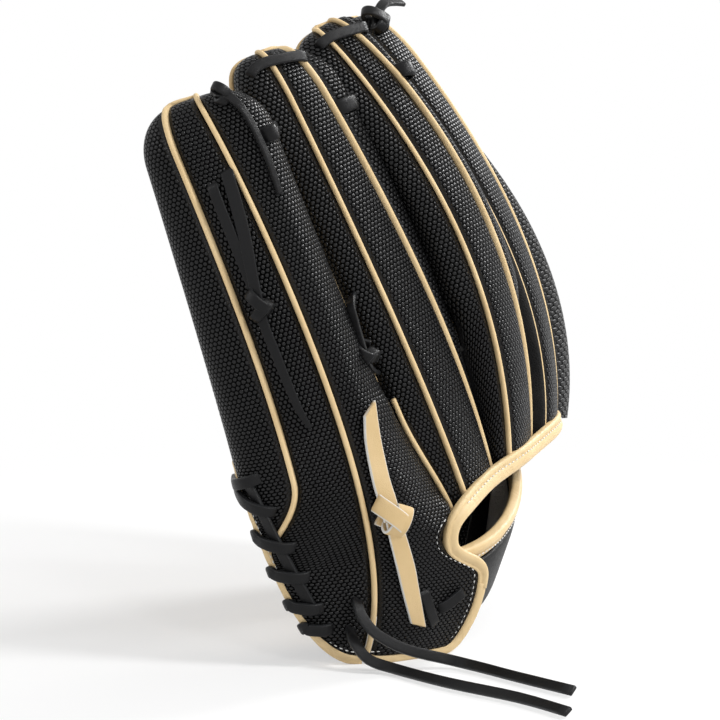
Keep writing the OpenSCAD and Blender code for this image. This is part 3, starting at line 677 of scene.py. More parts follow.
def finished(name: str, bm: bmesh.types.BMesh, *materials: bpy.types.Material) -> bpy.types.Object:
    """Turns a bmesh into a smooth-shaded object.

    Args:
        name: Name of the piece.
        bm: Its mesh, which is freed.
        materials: Finishes in the order of the faces' indices.

    Returns:
        The object, at the origin.
    """
    mesh = bpy.data.meshes.new(name)
    bm.to_mesh(mesh)
    bm.free()
    for material in materials:
        mesh.materials.append(material)
    mesh.polygons.foreach_set("use_smooth", np.ones(len(mesh.polygons), bool))
    thing = bpy.data.objects.new(name, mesh)
    bpy.context.scene.collection.objects.link(thing)
    return thing


def face_out(bm: bmesh.types.BMesh, out: Array) -> None:
    """Turns an open sheet so that its faces look along out on average."""
    total = Vector((0, 0, 0))
    for face in bm.faces:
        total += face.normal * face.calc_area()
    if total.dot(Vector(out)) < 0:
        bmesh.ops.reverse_faces(bm, faces=bm.faces[:])


def give_thickness(thing: bpy.types.Object, thick: float, inner: int = 0, rim: int = 0) -> None:
    """Gives a sheet its thickness below its face.

    Args:
        thing: The sheet.
        thick: Thickness in millimetres.
        inner: Material offset of the inner face.
        rim: Material offset of the edges.
    """
    wall = thing.modifiers.new("thickness", "SOLIDIFY")
    wall.thickness = thick * MM
    wall.offset = -1.0
    wall.material_offset = inner
    wall.material_offset_rim = rim


def section(around: int, w: float, h: float, corner: float) -> tuple[Array, Array]:
    """Rounded flat section of a strip.

    Args:
        around: Number of steps round it.
        w: Width.
        h: Height.
        corner: Roundness, from near 0 for square to 1 for an ellipse.

    Returns:
        Offsets across and up, and a mask that is 1 on the narrow edges.
    """
    a = np.linspace(0, 2 * math.pi, around + 1) + math.pi / around
    across, up = w / 2 * power(np.cos(a), corner), h / 2 * power(np.sin(a), corner)
    flat = np.stack([across, up], axis=-1)
    edge = smooth((np.abs(flat[:, 0]) / (w / 2) - 0.86) / 0.12)
    return flat, edge


def strip_mesh(
    path: Array,
    normals: Array,
    w: float,
    h: float,
    corner: float = 0.45,
    around: int = 20,
    width: Array | None = None,
    height: Array | None = None,
    profile: Array | None = None,
    slant: tuple[float, float] = (0, 0),
) -> bmesh.types.BMesh:
    """A strip swept along a line.

    Args:
        path: Points of its middle.
        normals: Direction of its flat face at each point.
        w: Width.
        h: Thickness.
        corner: Roundness of its section.
        around: Steps round the section.
        width: Share of the width at each point.
        height: Share of the thickness at each point.
        profile: Section of its own, in millimetres across and up, in place of the rounded one.
        slant: Slope of the cut at its two ends.

    Returns:
        Closed mesh with flat ends.
    """
    tangent = unit(np.gradient(path, axis=0))
    across = unit(np.cross(normals, tangent))
    up = np.cross(tangent, across)
    flat, edge = section(around, w, h, corner)
    if profile is not None:
        flat, edge = profile, np.zeros(len(profile))
    sx = flat[None, :, 0] * (np.ones(len(path)) if width is None else width)[:, None]
    sy = flat[None, :, 1] * (np.ones(len(path)) if height is None else height)[:, None]
    points = path[:, None, :] + wide(sx) * across[:, None, :] + wide(sy) * up[:, None, :]
    run = run_of(path)
    if any(slant):
        reach = w * 1.2
        first, last = (np.exp(-((x / reach) ** 2)) for x in (run, run[-1] - run))
        cut_back = slant[0] * first + slant[1] * last
        points = points + wide(sx * cut_back[:, None]) * tangent[:, None, :]
    points[..., 2] = np.maximum(points[..., 2], LEAST_HEIGHT)
    girth = run_of(np.concatenate([flat, np.zeros((len(flat), 1))], axis=1))
    cut = np.stack(np.broadcast_arrays(girth[None, :], run[:, None]), axis=-1)
    bm = Lattice(points, cut, {"edge": np.broadcast_to(edge, points.shape[:2])}).mesh()
    bmesh.ops.remove_doubles(bm, verts=bm.verts[:], dist=1e-7)
    bmesh.ops.holes_fill(bm, edges=[e for e in bm.edges if e.is_boundary], sides=0)
    bmesh.ops.recalc_face_normals(bm, faces=bm.faces[:])
    return bm


def join(parts: Sequence[bmesh.types.BMesh]) -> bmesh.types.BMesh:
    """Several bmeshes as one."""
    whole = bmesh.new()
    for part in parts:
        held = bpy.data.meshes.new("held")
        part.to_mesh(held)
        part.free()
        whole.from_mesh(held)
        bpy.data.meshes.remove(held)
    return whole


# Finishes


Tree = bpy.types.NodeTree
Socket = bpy.types.NodeSocket


def new_node(tree: Tree, kind: str, **settings: object) -> bpy.types.Node:
    """Adds a shader node.

    Args:
        tree: Tree of a material or a group.
        kind: Node type, after the words that all shader nodes share.
        settings: Its properties; for names that start with in_, the value of an input or the
            socket that feeds it.

    Returns:
        The node.
    """
    node = tree.nodes.new("ShaderNode" + kind)
    for name, value in settings.items():
        if not name.startswith("in_"):
            setattr(node, name, value)
            continue
        key = name[3:]
        socket = node.inputs[int(key) if key.isdigit() else key.replace("_", " ")]
        if isinstance(value, Socket):
            tree.links.new(value, socket)
        else:
            socket.default_value = value
    return node


def maths(tree: Tree, operation: str, *values: float | Socket) -> Socket:
    """Result of a sum on numbers or sockets."""
    inputs = {f"in_{i}": value for i, value in enumerate(values)}
    return new_node(tree, "Math", operation=operation, **inputs).outputs[0]


def vectors(tree: Tree, operation: str, *values: Triple | Socket, **more: object) -> Socket:
    """Result of a sum on vectors or sockets."""
    inputs = {f"in_{i}": value for i, value in enumerate(values)}
    node = new_node(tree, "VectorMath", operation=operation, **inputs, **more)
    return node.outputs["Value" if operation == "LENGTH" else "Vector"]


def ranged(
    tree: Tree, value: Socket, given: tuple[float, float], wanted: tuple[float, float] = (0.0, 1.0),
    ease: str = "LINEAR",
) -> Socket:
    """A value carried over from the given range to the wanted one."""
    node = new_node(
        tree, "MapRange", interpolation_type=ease, in_0=value, in_1=given[0], in_2=given[1],
        in_3=wanted[0], in_4=wanted[1],
    )
    return node.outputs[0]


def mixed(tree: Tree, share: Socket, first: Triple | Socket, second: Triple) -> Socket:
    """Colour between two."""
    start = first if isinstance(first, Socket) else (*first, 1)
    node = new_node(tree, "Mix", data_type="RGBA", in_0=share, in_6=start, in_7=(*second, 1))
    return node.outputs[2]


def bumped(tree: Tree, height: Socket, depth: float, under: Socket | None = None) -> Socket:
    """Normal that a relief of this depth in millimetres gives, over the relief under it."""
    node = new_node(tree, "Bump", in_Strength=1.0, in_Distance=depth * MM, in_Height=height)
    if under is not None:
        tree.links.new(under, node.inputs["Normal"])
    return node.outputs[0]


def new_group(name: str, numbers: dict[str, float], outputs: Sequence[str]) -> Tree:
    """Starts a shared shader group, which reads a vector.

    Args:
        name: Name of the group.
        numbers: Default value of each further input by name.
        outputs: Names of its results.

    Returns:
        The group's tree, with its input and output nodes.
    """
    tree = bpy.data.node_groups.new(name, "ShaderNodeTree")
    tree.interface.new_socket("Vector", in_out="INPUT", socket_type="NodeSocketVector")
    for label, value in numbers.items():
        socket = tree.interface.new_socket(label, in_out="INPUT", socket_type="NodeSocketFloat")
        socket.default_value = value
    for label in outputs:
        tree.interface.new_socket(label, in_out="OUTPUT", socket_type="NodeSocketFloat")
    tree.nodes.new("NodeGroupInput")
    tree.nodes.new("NodeGroupOutput")
    return tree


class Embossing:
    """Group that presses rows of small domes into leather, from the cut's millimetres."""

    row_step = 1.7321
    dome = (0.56, 0.24)
    groove = (0.28, 0.5)

    def __init__(self) -> None:
        """Builds the group once."""
        tree = new_group("dome_emboss", {"Pitch": 0.22, "Waver": 0.07}, ("Height", "Groove"))
        self.tree = tree
        given, out = tree.nodes["Group Input"].outputs, tree.nodes["Group Output"].inputs
        noise = new_node(tree, "TexNoise", in_Vector=given["Vector"], in_Scale=1.6, in_Detail=1.0)
        centred = vectors(tree, "SUBTRACT", noise.outputs["Color"], (0.5, 0.5, 0.5))
        wave = vectors(tree, "SCALE", centred, in_Scale=given["Waver"])
        moved = vectors(tree, "ADD", given["Vector"], wave)
        scaled = vectors(tree, "SCALE", moved, in_Scale=maths(tree, "DIVIDE", 1.0, given["Pitch"]))
        cells = vectors(tree, "DIVIDE", scaled, (1.0, self.row_step, 1.0))
        shifts = ((0.0, 0.0, 0.0), (0.5, 0.5, 0.0))
        nearest = maths(tree, "MINIMUM", *(self.to_centre(cells, shift) for shift in shifts))
        dome = ranged(tree, nearest, self.dome, (0.0, 0.8), "SMOOTHERSTEP")
        tree.links.new(maths(tree, "MULTIPLY_ADD", nearest, -0.5, dome), out["Height"])
        groove = ranged(tree, nearest, self.groove, ease="SMOOTHSTEP")
        tree.links.new(groove, out["Groove"])

    def to_centre(self, cells: Socket, shift: Triple) -> Socket:
        """Distance to the nearest dome of one of the two interleaved sets of rows."""
        tree = self.tree
        part = vectors(tree, "FRACTION", vectors(tree, "ADD", cells, shift))
        centred = vectors(tree, "SUBTRACT", part, (0.5, 0.5, 0.0))
        spread = vectors(tree, "MULTIPLY", centred, (1.0, self.row_step, 0.0))
        return vectors(tree, "LENGTH", spread)


class Grain:
    """Group of fine leather grain and broad tone, from any coordinates in metres."""

    def __init__(self) -> None:
        """Builds the group once."""
        tree = new_group("leather_grain", {"Scale": 900.0}, ("Height", "Tone", "Creases"))
        self.tree = tree
        given, out = tree.nodes["Group Input"].outputs, tree.nodes["Group Output"].inputs
        fine = {"in_Vector": given["Vector"], "in_Scale": given["Scale"]}
        pores = new_node(tree, "TexVoronoi", feature="DISTANCE_TO_EDGE", in_Randomness=1.0, **fine)
        fuzz = new_node(tree, "TexNoise", in_Detail=3.0, **fine)
        ridge = ranged(tree, pores.outputs["Distance"], (0.0, 0.25), (0.0, 0.6))
        height = maths(tree, "MULTIPLY_ADD", fuzz.outputs["Fac"], 0.5, ridge)
        broad = {"in_Vector": given["Vector"]}
        tone = new_node(tree, "TexNoise", in_Scale=38.0, in_Detail=4.0, **broad)
        folds = new_node(tree, "TexNoise", in_Scale=95.0, in_Detail=2.0, in_Distortion=1.2, **broad)
        results = {"Height": height, "Tone": tone.outputs["Fac"], "Creases": folds.outputs["Fac"]}
        for label, result in results.items():
            tree.links.new(result, out[label])


@dataclass(frozen=True)
class Leather:
    """A leather finish: two tones, gloss, relief and painted shade in the grooves of its domes."""

    name: str
    deep: Triple
    light: Triple
    rough: tuple[float, float]
    grain_scale: float
    grain_depth: float
    crease_depth: float = 0.0
    specular: float = 0.5
    dome_pitch: float = 0.0
    dome_depth: float = 0.0
    edge: Triple | None = None
    sheen: float = 0.0
    tone_range: tuple[float, float] = (0.32, 0.68)
    gloss_range: tuple[float, float] = (0.3, 0.75)
    # Share of the deep tone painted into the grooves of the domes as shade.
    groove_painted_shade: float = 0.2
    groove_dull: float = 0.3

    def dress(self, shared: "Finishes") -> bpy.types.Material:
        """Builds the material.

        Args:
            shared: The shared groups.

        Returns:
            The material.
        """
        material = bpy.data.materials.new(self.name)
        material.use_nodes = True
        tree = material.node_tree
        skin = tree.nodes["Principled BSDF"].inputs
        skin["Specular IOR Level"].default_value = self.specular
        skin["Sheen Weight"].default_value = self.sheen
        skin["Sheen Roughness"].default_value = 0.5
        place = new_node(tree, "TexCoord").outputs["Object"]
        grain = new_node(
            tree, "Group", node_tree=shared.grain.tree, in_Vector=place, in_Scale=self.grain_scale
        ).outputs
        colour = mixed(tree, ranged(tree, grain["Tone"], self.tone_range), self.deep, self.light)
        gloss = ranged(tree, grain["Height"], self.gloss_range, self.rough)
        relief = bumped(tree, grain["Height"], self.grain_depth)
        if self.crease_depth:
            relief = bumped(tree, grain["Creases"], self.crease_depth, relief)
        if self.dome_pitch:
            level, groove = self.pressed(tree, shared.domes)
            relief = bumped(tree, level, self.dome_depth, relief)
            # Painted shade: the grooves between the domes get a darker copy of the deep tone.
            colour = mixed(tree, groove, colour, tuple(x * self.groove_painted_shade for x in self.deep))
            gloss = maths(tree, "MULTIPLY_ADD", groove, self.groove_dull, gloss)
            # Metallic over the dark groove colour takes the reflection out of the grooves: more
            # painted shade.
            tree.links.new(groove, skin["Metallic"])
        if self.edge is not None:
            worn = new_node(tree, "Attribute", attribute_name="edge").outputs["Fac"]
            colour = mixed(tree, worn, colour, self.edge)
        for label, result in {"Base Color": colour, "Roughness": gloss, "Normal": relief}.items():
            tree.links.new(result, skin[label])
        return material

    def pressed(self, tree: Tree, domes: Embossing) -> tuple[Socket, Socket]:
        """Height and groove of the domes, which leave the lips of the seams plain."""
        cut = new_node(tree, "UVMap", uv_map="Cut").outputs[0]
        pitch = self.dome_pitch * CUT_SCALE
        made = new_node(tree, "Group", node_tree=domes.tree, in_Vector=cut, in_Pitch=pitch).outputs
        lip = new_node(tree, "Attribute", attribute_name="lip").outputs["Fac"]
        inside = maths(tree, "SUBTRACT", 1.0, lip)
        level, groove = (maths(tree, "MULTIPLY", made[x], inside) for x in ("Height", "Groove"))
        return level, groove


class Finishes:
    """All finishes of the glove, with their shared groups."""

    def __init__(self) -> None:
        """Builds groups and materials."""
        self.grain = Grain()
        self.domes = Embossing()
        self.embossed = Leather(
            "embossed black leather", (0.005, 0.005, 0.0055), (0.009, 0.009, 0.0095), (0.24, 0.36),
            1500, 0.03, 0.25, 0.25, 2.2, 0.62).dress(self)
        self.flesh = Leather(
            "black suede flesh side", (0.006, 0.006, 0.006), (0.013, 0.0125, 0.012), (0.8, 0.95),
            700, 0.25, specular=0.1).dress(self)
        self.tan = Leather(
            "blond leather", (0.60, 0.43, 0.215), (0.70, 0.52, 0.285), (0.42, 0.6),
            1100, 0.06, 0.35, 0.4).dress(self)
        self.welt = Leather(
            "blond welt leather", (0.69, 0.50, 0.26), (0.79, 0.595, 0.33), (0.45, 0.62),
            1300, 0.05, 0.12, 0.35).dress(self)
        self.binding = Leather(
            "rolled blond leather", (0.62, 0.45, 0.23), (0.74, 0.56, 0.31), (0.40, 0.58),
            1000, 0.06, 0.5, 0.4).dress(self)
        self.strap = Leather(
            "smooth black leather", (0.005, 0.005, 0.0055), (0.010, 0.010, 0.0105), (0.42, 0.6),
            1200, 0.08, 0.3, 0.2).dress(self)
        self.lace = Leather(
            "black rawhide lace", (0.005, 0.005, 0.0055), (0.008, 0.008, 0.0085), (0.28, 0.42),
            1600, 0.05, 0.1, 0.18, edge=(0.016, 0.0165, 0.0175)).dress(self)
        self.tan_lace = Leather(
            "blond rawhide lace", (0.60, 0.43, 0.215), (0.69, 0.51, 0.275), (0.6, 0.75),
            1500, 0.09, 0.18, 0.3, edge=(0.66, 0.66, 0.64)).dress(self)
        self.lining = Leather(
            "soft black lining", (0.010, 0.010, 0.010), (0.024, 0.023, 0.022), (0.6, 0.8),
            1000, 0.1, 0.5, 0.15).dress(self)
        self.felt = Leather(
            "grey wool felt", (0.17, 0.155, 0.14), (0.30, 0.28, 0.26), (0.9, 1.0),
            600, 0.5, sheen=0.3).dress(self)
        self.thread = Leather(
            "white thread", (0.66, 0.66, 0.65), (0.82, 0.82, 0.80), (0.7, 0.85),
            2600, 0.12, specular=0.25).dress(self)


# Sub-assemblies


@dataclass
class Backs:
    """Embossed leathers on the backs of the fingers."""

    finishes: Finishes
    columns: int = 30
    rows: int = 150
    body_share: float = 0.86
    dip: float = 1.3
    dip_reach: float = 1.6
    crown: float = 0.9
    crown_width: float = 40.0
    thick: float = 2.6
    bound_gap: float = 0.6
    under_rim: float = 1.5
    lip_start: float = 1.3
    lip_fade: float = 1.2
    lip_width: float = 14.0
    lip_least: float = 0.25
    puff_close: float = 0.16
    puff_lean: float = 1.25
    cut_lines: int = 13
    cut_rows: int = 240
    close_from: float = 140.0
    close_over: float = 80.0
    close_along: float = 0.32
    close_across: float = 0.14
    puff: dict[tuple[Stall, Side], Triple] = field(default_factory=lambda: {
        (Stall.LITTLE, Side.INNER): (-6.0, -3.0, 0.0),
        (Stall.RING, Side.OUTER): (2.0, 2.0, 2.0), (Stall.RING, Side.INNER): (5.0, 5.0, 5.0),
        (Stall.MIDDLE, Side.OUTER): (2.0, 2.0, 2.0), (Stall.MIDDLE, Side.INNER): (5.0, 4.0, -12.0),
        (Stall.INDEX, Side.OUTER): (2.0, 2.0, 1.0), (Stall.INDEX, Side.INNER): (-10.0, 17.0, -22.0),
    })

    def panel(self, i: Stall, side: Side, node: str) -> bpy.types.Object:
        """Builds one leather.

        Args:
            i: Its finger.
            side: Its place on the finger.
            node: The solid that it stands for.

        Returns:
            The piece.
        """
        even = np.linspace(0, 1, self.columns + 1)
        f = lerp(0.5 - 0.5 * np.cos(math.pi * even), even, 0.5)
        lift = CUT.bound_top - self.bound_gap if i.bound else -self.under_rim
        rows = self.rows * 2 if (i, side) == (Stall.LITTLE, Side.INNER) else self.rows
        v = rows_from(CUT.low_row(i, side, f, lift), rows, self.body_share)
        f, v = grids(f, v)
        left, right = self.to_seams(CUT.leather_at(i, side, f, v))
        off = self.sink(left, right) - self.filled(i, side, f, v)
        points = CUT.leather_at(i, side, f, v, off)
        narrow = np.clip(left[:, -1:] / self.lip_width, self.lip_least, 1.0)
        lip = 1 - smooth((np.minimum(left, right) / narrow - self.lip_start) / self.lip_fade)
        bm = Lattice(points, self.pressed(i, side, f, v), {"lip": lip}).mesh()
        half = (points.shape[0] // 2, points.shape[1] // 2)
        face_out(bm, CUT.leather_normal(i, side, f[half], v[half]))
        thing = finished(node, bm, self.finishes.embossed, self.finishes.flesh)
        give_thickness(thing, self.thick, inner=1)
        return Piece(thing, Slot.BLACK, (node,), i.body).settle()

    def filled(self, i: Stall, side: Side, f: Array, v: Array) -> Array:
        """How far a finger's side swells into the slit beside it, above the crotch."""
        if (i, side) not in self.puff:
            return np.zeros_like(f)
        free = 1 - CUT.joined(i if side > 0 else i - 1, v)
        shut = smooth((CUT.last_row - v) / self.puff_close)
        across = np.sin(math.pi * f**self.puff_lean)
        return quad3(self.puff[i, side], CUT.line_at(v)) * across * free * shut

    @staticmethod
    def to_seams(flat: Array) -> tuple[Array, Array]:
        """Distances of a grid's points to its left and right edges."""
        left = runs_across(flat)
        return left, left[:, -1:] - left

    def sink(self, left: Array, right: Array) -> Array:
        """Depth of the leather, which turns down at its seams and swells between them."""
        width = np.maximum(left[:, -1:], 1.0)
        turned = np.exp(-((left / self.dip_reach) ** 2)) + np.exp(-((right / self.dip_reach) ** 2))
        swell = 4 * (left / width) * (right / width) * np.minimum(1.0, width / self.crown_width)
        return self.dip * np.minimum(turned, 1.0) - self.crown * swell

    def pressed(self, i: Stall, side: Side, f: Array, v: Array) -> Array:
        """Cut of a leather in millimetres across and along, for its domes.

        Args:
            i: Finger of the leather.
            side: Its place on the finger.
            f: Share across at each point.
            v: Row of each point.

        Returns:
            Two distances for each point; towards the heel the domes lie wide and close.
        """
        first = 0.5 if side == Side.BACK else 0.0
        shares = np.linspace(0, 1, self.cut_lines)[:, None, None]
        lines = CUT.leather_at(i, side, *grids(lerp(first, f[None], shares), v[None]))
        across = np.linalg.norm(np.diff(lines, axis=0), axis=-1).sum(axis=0)
        across = across * np.sign(f - first + 1e-9)
        rows = np.linspace(0, CUT.last_row, self.cut_rows)
        middle = 0.3 if (i, side) == (Stall.LITTLE, Side.INNER) else 0.5
        table = run_of(CUT.leather_at(i, side, np.full_like(rows, middle), rows))
        if i == Stall.LITTLE:
            close = smooth((self.close_from - table) / self.close_over)
            across = across * (1 - self.close_across * np.interp(v, rows, close))
            table = np.cumsum(np.diff(table, prepend=0.0) * (1 + self.close_along * close))
        return np.stack([across, np.interp(v, rows, table)], axis=-1)

    def build(self) -> None:
        """Builds the leathers of all fingers."""
        for i in Stall:
            thumb = i == Stall.THUMB
            names = ("web_side", "back", "free_side") if thumb else ("outer", "back", "inner")
            for side in Side:
                self.panel(i, side, f"{i.word}_{names[side + 1]}")


@dataclass
class Welts:
    """Blond beads sewn between the back leathers."""

    finishes: Finishes
    widths: tuple[float, ...] = (2.4, 2.4, 2.1, 1.8, 2.4)
    depth: float = 3.6
    proud: float = 0.95
    spacing: float = 1.6
    steps: int = 150
    valley_steps: int = 60
    bound_gap: float = 0.8
    under_rim: float = 1.0
    below_crotch: float = 0.02

    def bead(self, i: Stall, node: str, path: Array, normals: Array) -> bpy.types.Object:
        """Sweeps one bead of a finger and lets it ride."""
        line = evenly(with_normals(path, normals), self.spacing)
        path, normals = line[:, :3], unit(line[:, 3:])
        bm = strip_mesh(path, normals, self.widths[i], self.depth, corner=0.8, around=14)
        return Piece(finished(node, bm, self.finishes.welt), Slot.TAN, (node,), i.body).settle()

    def build(self) -> None:
        """Builds two beads for each finger, and the one in the valley by the little finger."""
        sunk = self.depth / 2 - self.proud
        for i in Stall:
            lift = CUT.bound_top - self.bound_gap if i.bound else -self.under_rim
            for side, name in ((Side.OUTER, "outer"), (Side.INNER, "inner")):
                v = rows_from(CUT.low_row(i, side, np.array([0.0]), lift), self.steps)[:, 0]
                angle = CUT.welt_angle(i, side, v)
                path, normals = CUT.tube(i, angle, v, sunk), CUT.tube_normal(i, angle, v)
                self.bead(i, f"{i.word}_welt_{name}", path, normals)
        low = CUT.low_row(Stall.RING, Side.OUTER, np.array([1.0]), -self.under_rim)[0]
        top = CUT.crotch[0] - self.below_crotch
        high = bisect(lambda v: CUT.line_at(v) - top, np.array(0.0), 1.0)
        v = np.linspace(low, float(high), self.valley_steps)
        normals = unit(CUT.valley(0, v, -1.0) - CUT.valley(0, v))
        self.bead(Stall.LITTLE, "valley_welt", CUT.valley(0, v, sunk), normals)


@dataclass
class Palm:
    """Blond palm leather of the five fingers, the lining and the felt pads behind it."""

    finishes: Finishes
    columns: int = 28
    rows: int = 130
    body_share: float = 0.86
    thick: float = 2.4
    web_edge: float = 6 / 7
    pad_gap: float = 1.6
    pad_height: float = 6.0
    pad_corner: float = 1.8
    pad_row: float = 0.16
    lining: float = 1.4
    lining_row: float = 0.09
    top_row: float = 0.36
    reach: float = 0.66
    lip: float = 1.5
    lip_start: tuple[float, float] = (0.55, 0.72)
    lip_fade: tuple[float, float] = (0.4, 0.1)

    def leather(self, i: Stall) -> bpy.types.Object:
        """Builds one finger's palm leather.

        Args:
            i: Its finger.

        Returns:
            The piece.
        """
        first = -self.web_edge if i == Stall.THUMB else -1.0
        last = self.web_edge if i == Stall.INDEX else 1.0
        k = np.linspace(first, last, self.columns + 1)
        k, v = grids(k, rows_from(CUT.palm_low(i, k), self.rows, self.body_share))
        lip = np.zeros_like(v)
        if i in (Stall.RING, Stall.MIDDLE):
            across, along = (
                smooth((x - start) / fade)
                for x, start, fade in zip((-k, v), self.lip_start, self.lip_fade)
            )
            lip = self.lip * across * along
        bm = Lattice(CUT.palm_at(i, k, v, -lip)).mesh()
        half = (self.rows // 2, self.columns // 2)
        face_out(bm, -CUT.outward(i, CUT.line_at(v[half])))
        node = f"{i.word}_palm"
        thing = finished(node, bm, self.finishes.tan, self.finishes.flesh)
        give_thickness(thing, self.thick, inner=1)
        return Piece(thing, Slot.TAN, (node,), i.body).settle()

    def patch(
        self, fingers: Sequence[Stall], columns: int, low: float, rows: int
    ) -> bmesh.types.BMesh:
        """Lays a sheet behind the palm leather of some fingers, from a low row up."""
        v = np.linspace(low, self.top_row, rows + 1)
        off = CUT.leather + self.pad_gap
        lines = [
            CUT.palm_at(i, np.full_like(v, k), v, off)
            for i in fingers for k in np.linspace(self.reach, -self.reach, columns)
        ]
        bm = Lattice(np.stack(lines, axis=1)).mesh()
        face_out(bm, -CUT.outward(fingers[0], CUT.line_at(0.2)))
        return bm

    def soft_edge(self, thing: bpy.types.Object, radius: float) -> None:
        """Rounds the rim of a thickened sheet."""
        edge = thing.modifiers.new("edge", "BEVEL")
        edge.width = radius * MM
        edge.segments = 3
        edge.limit_method = "ANGLE"
        edge.angle_limit = math.radians(50)

    def build(self) -> None:
        """Builds the palm leathers, then what lies behind them."""
        for i in Stall:
            self.leather(i)
        bm = self.patch((Stall.INDEX, Stall.MIDDLE, Stall.RING), 9, self.lining_row, 40)
        thing = finished("palm_lining", bm, self.finishes.lining)
        give_thickness(thing, self.lining)
        Piece(thing, Slot.LINING, ("palm_lining",)).settle()
        for i in (Stall.LITTLE, Stall.THUMB):
            node = f"{i.word}_heel_pad"
            thing = finished(node, self.patch((i,), 15, self.pad_row, 24), self.finishes.felt)
            give_thickness(thing, self.pad_height)
            self.soft_edge(thing, self.pad_corner)
            Piece(thing, Slot.FELT, (node,), i.body).settle()


@dataclass
class Stitching:
    """Rows of thread, each stitch a small capsule."""

    finishes: Finishes
    length: float = 1.75
    pitch: float = 2.75
    thick: float = 0.62

    def row(self, name: str, path: Array, normals: Array) -> Piece:
        """Sews a row of stitches.

        Args:
            name: Name of the piece.
            path: Line on the leather.
            normals: Direction out of the leather along it.

        Returns:
            The piece, which isn't settled yet.
        """
        line = evenly(with_normals(path, normals), self.pitch)
        tangent = unit(np.gradient(line[:, :3], axis=0))
        half, reach = self.thick / 2 * MM, self.length / 2 * MM
        lying = Matrix.Rotation(math.radians(90), 4, "X")
        bm = bmesh.new()
        for p, n, t in zip(row_frame(line[:, :3]), unit(line[:, 3:]), tangent):
            side = unit(np.cross(n, t))
            up = np.cross(t, side)
            turn = Matrix((side * half, t * reach, up * half)).transposed().to_4x4()
            turn.translation = Vector(p)
            bmesh.ops.create_uvsphere(
                bm, u_segments=6, v_segments=5, radius=1.0, matrix=turn @ lying
            )
        bmesh.ops.recalc_face_normals(bm, faces=bm.faces[:])
        return Piece(finished(name, bm, self.finishes.thread), Slot.TAN, ())


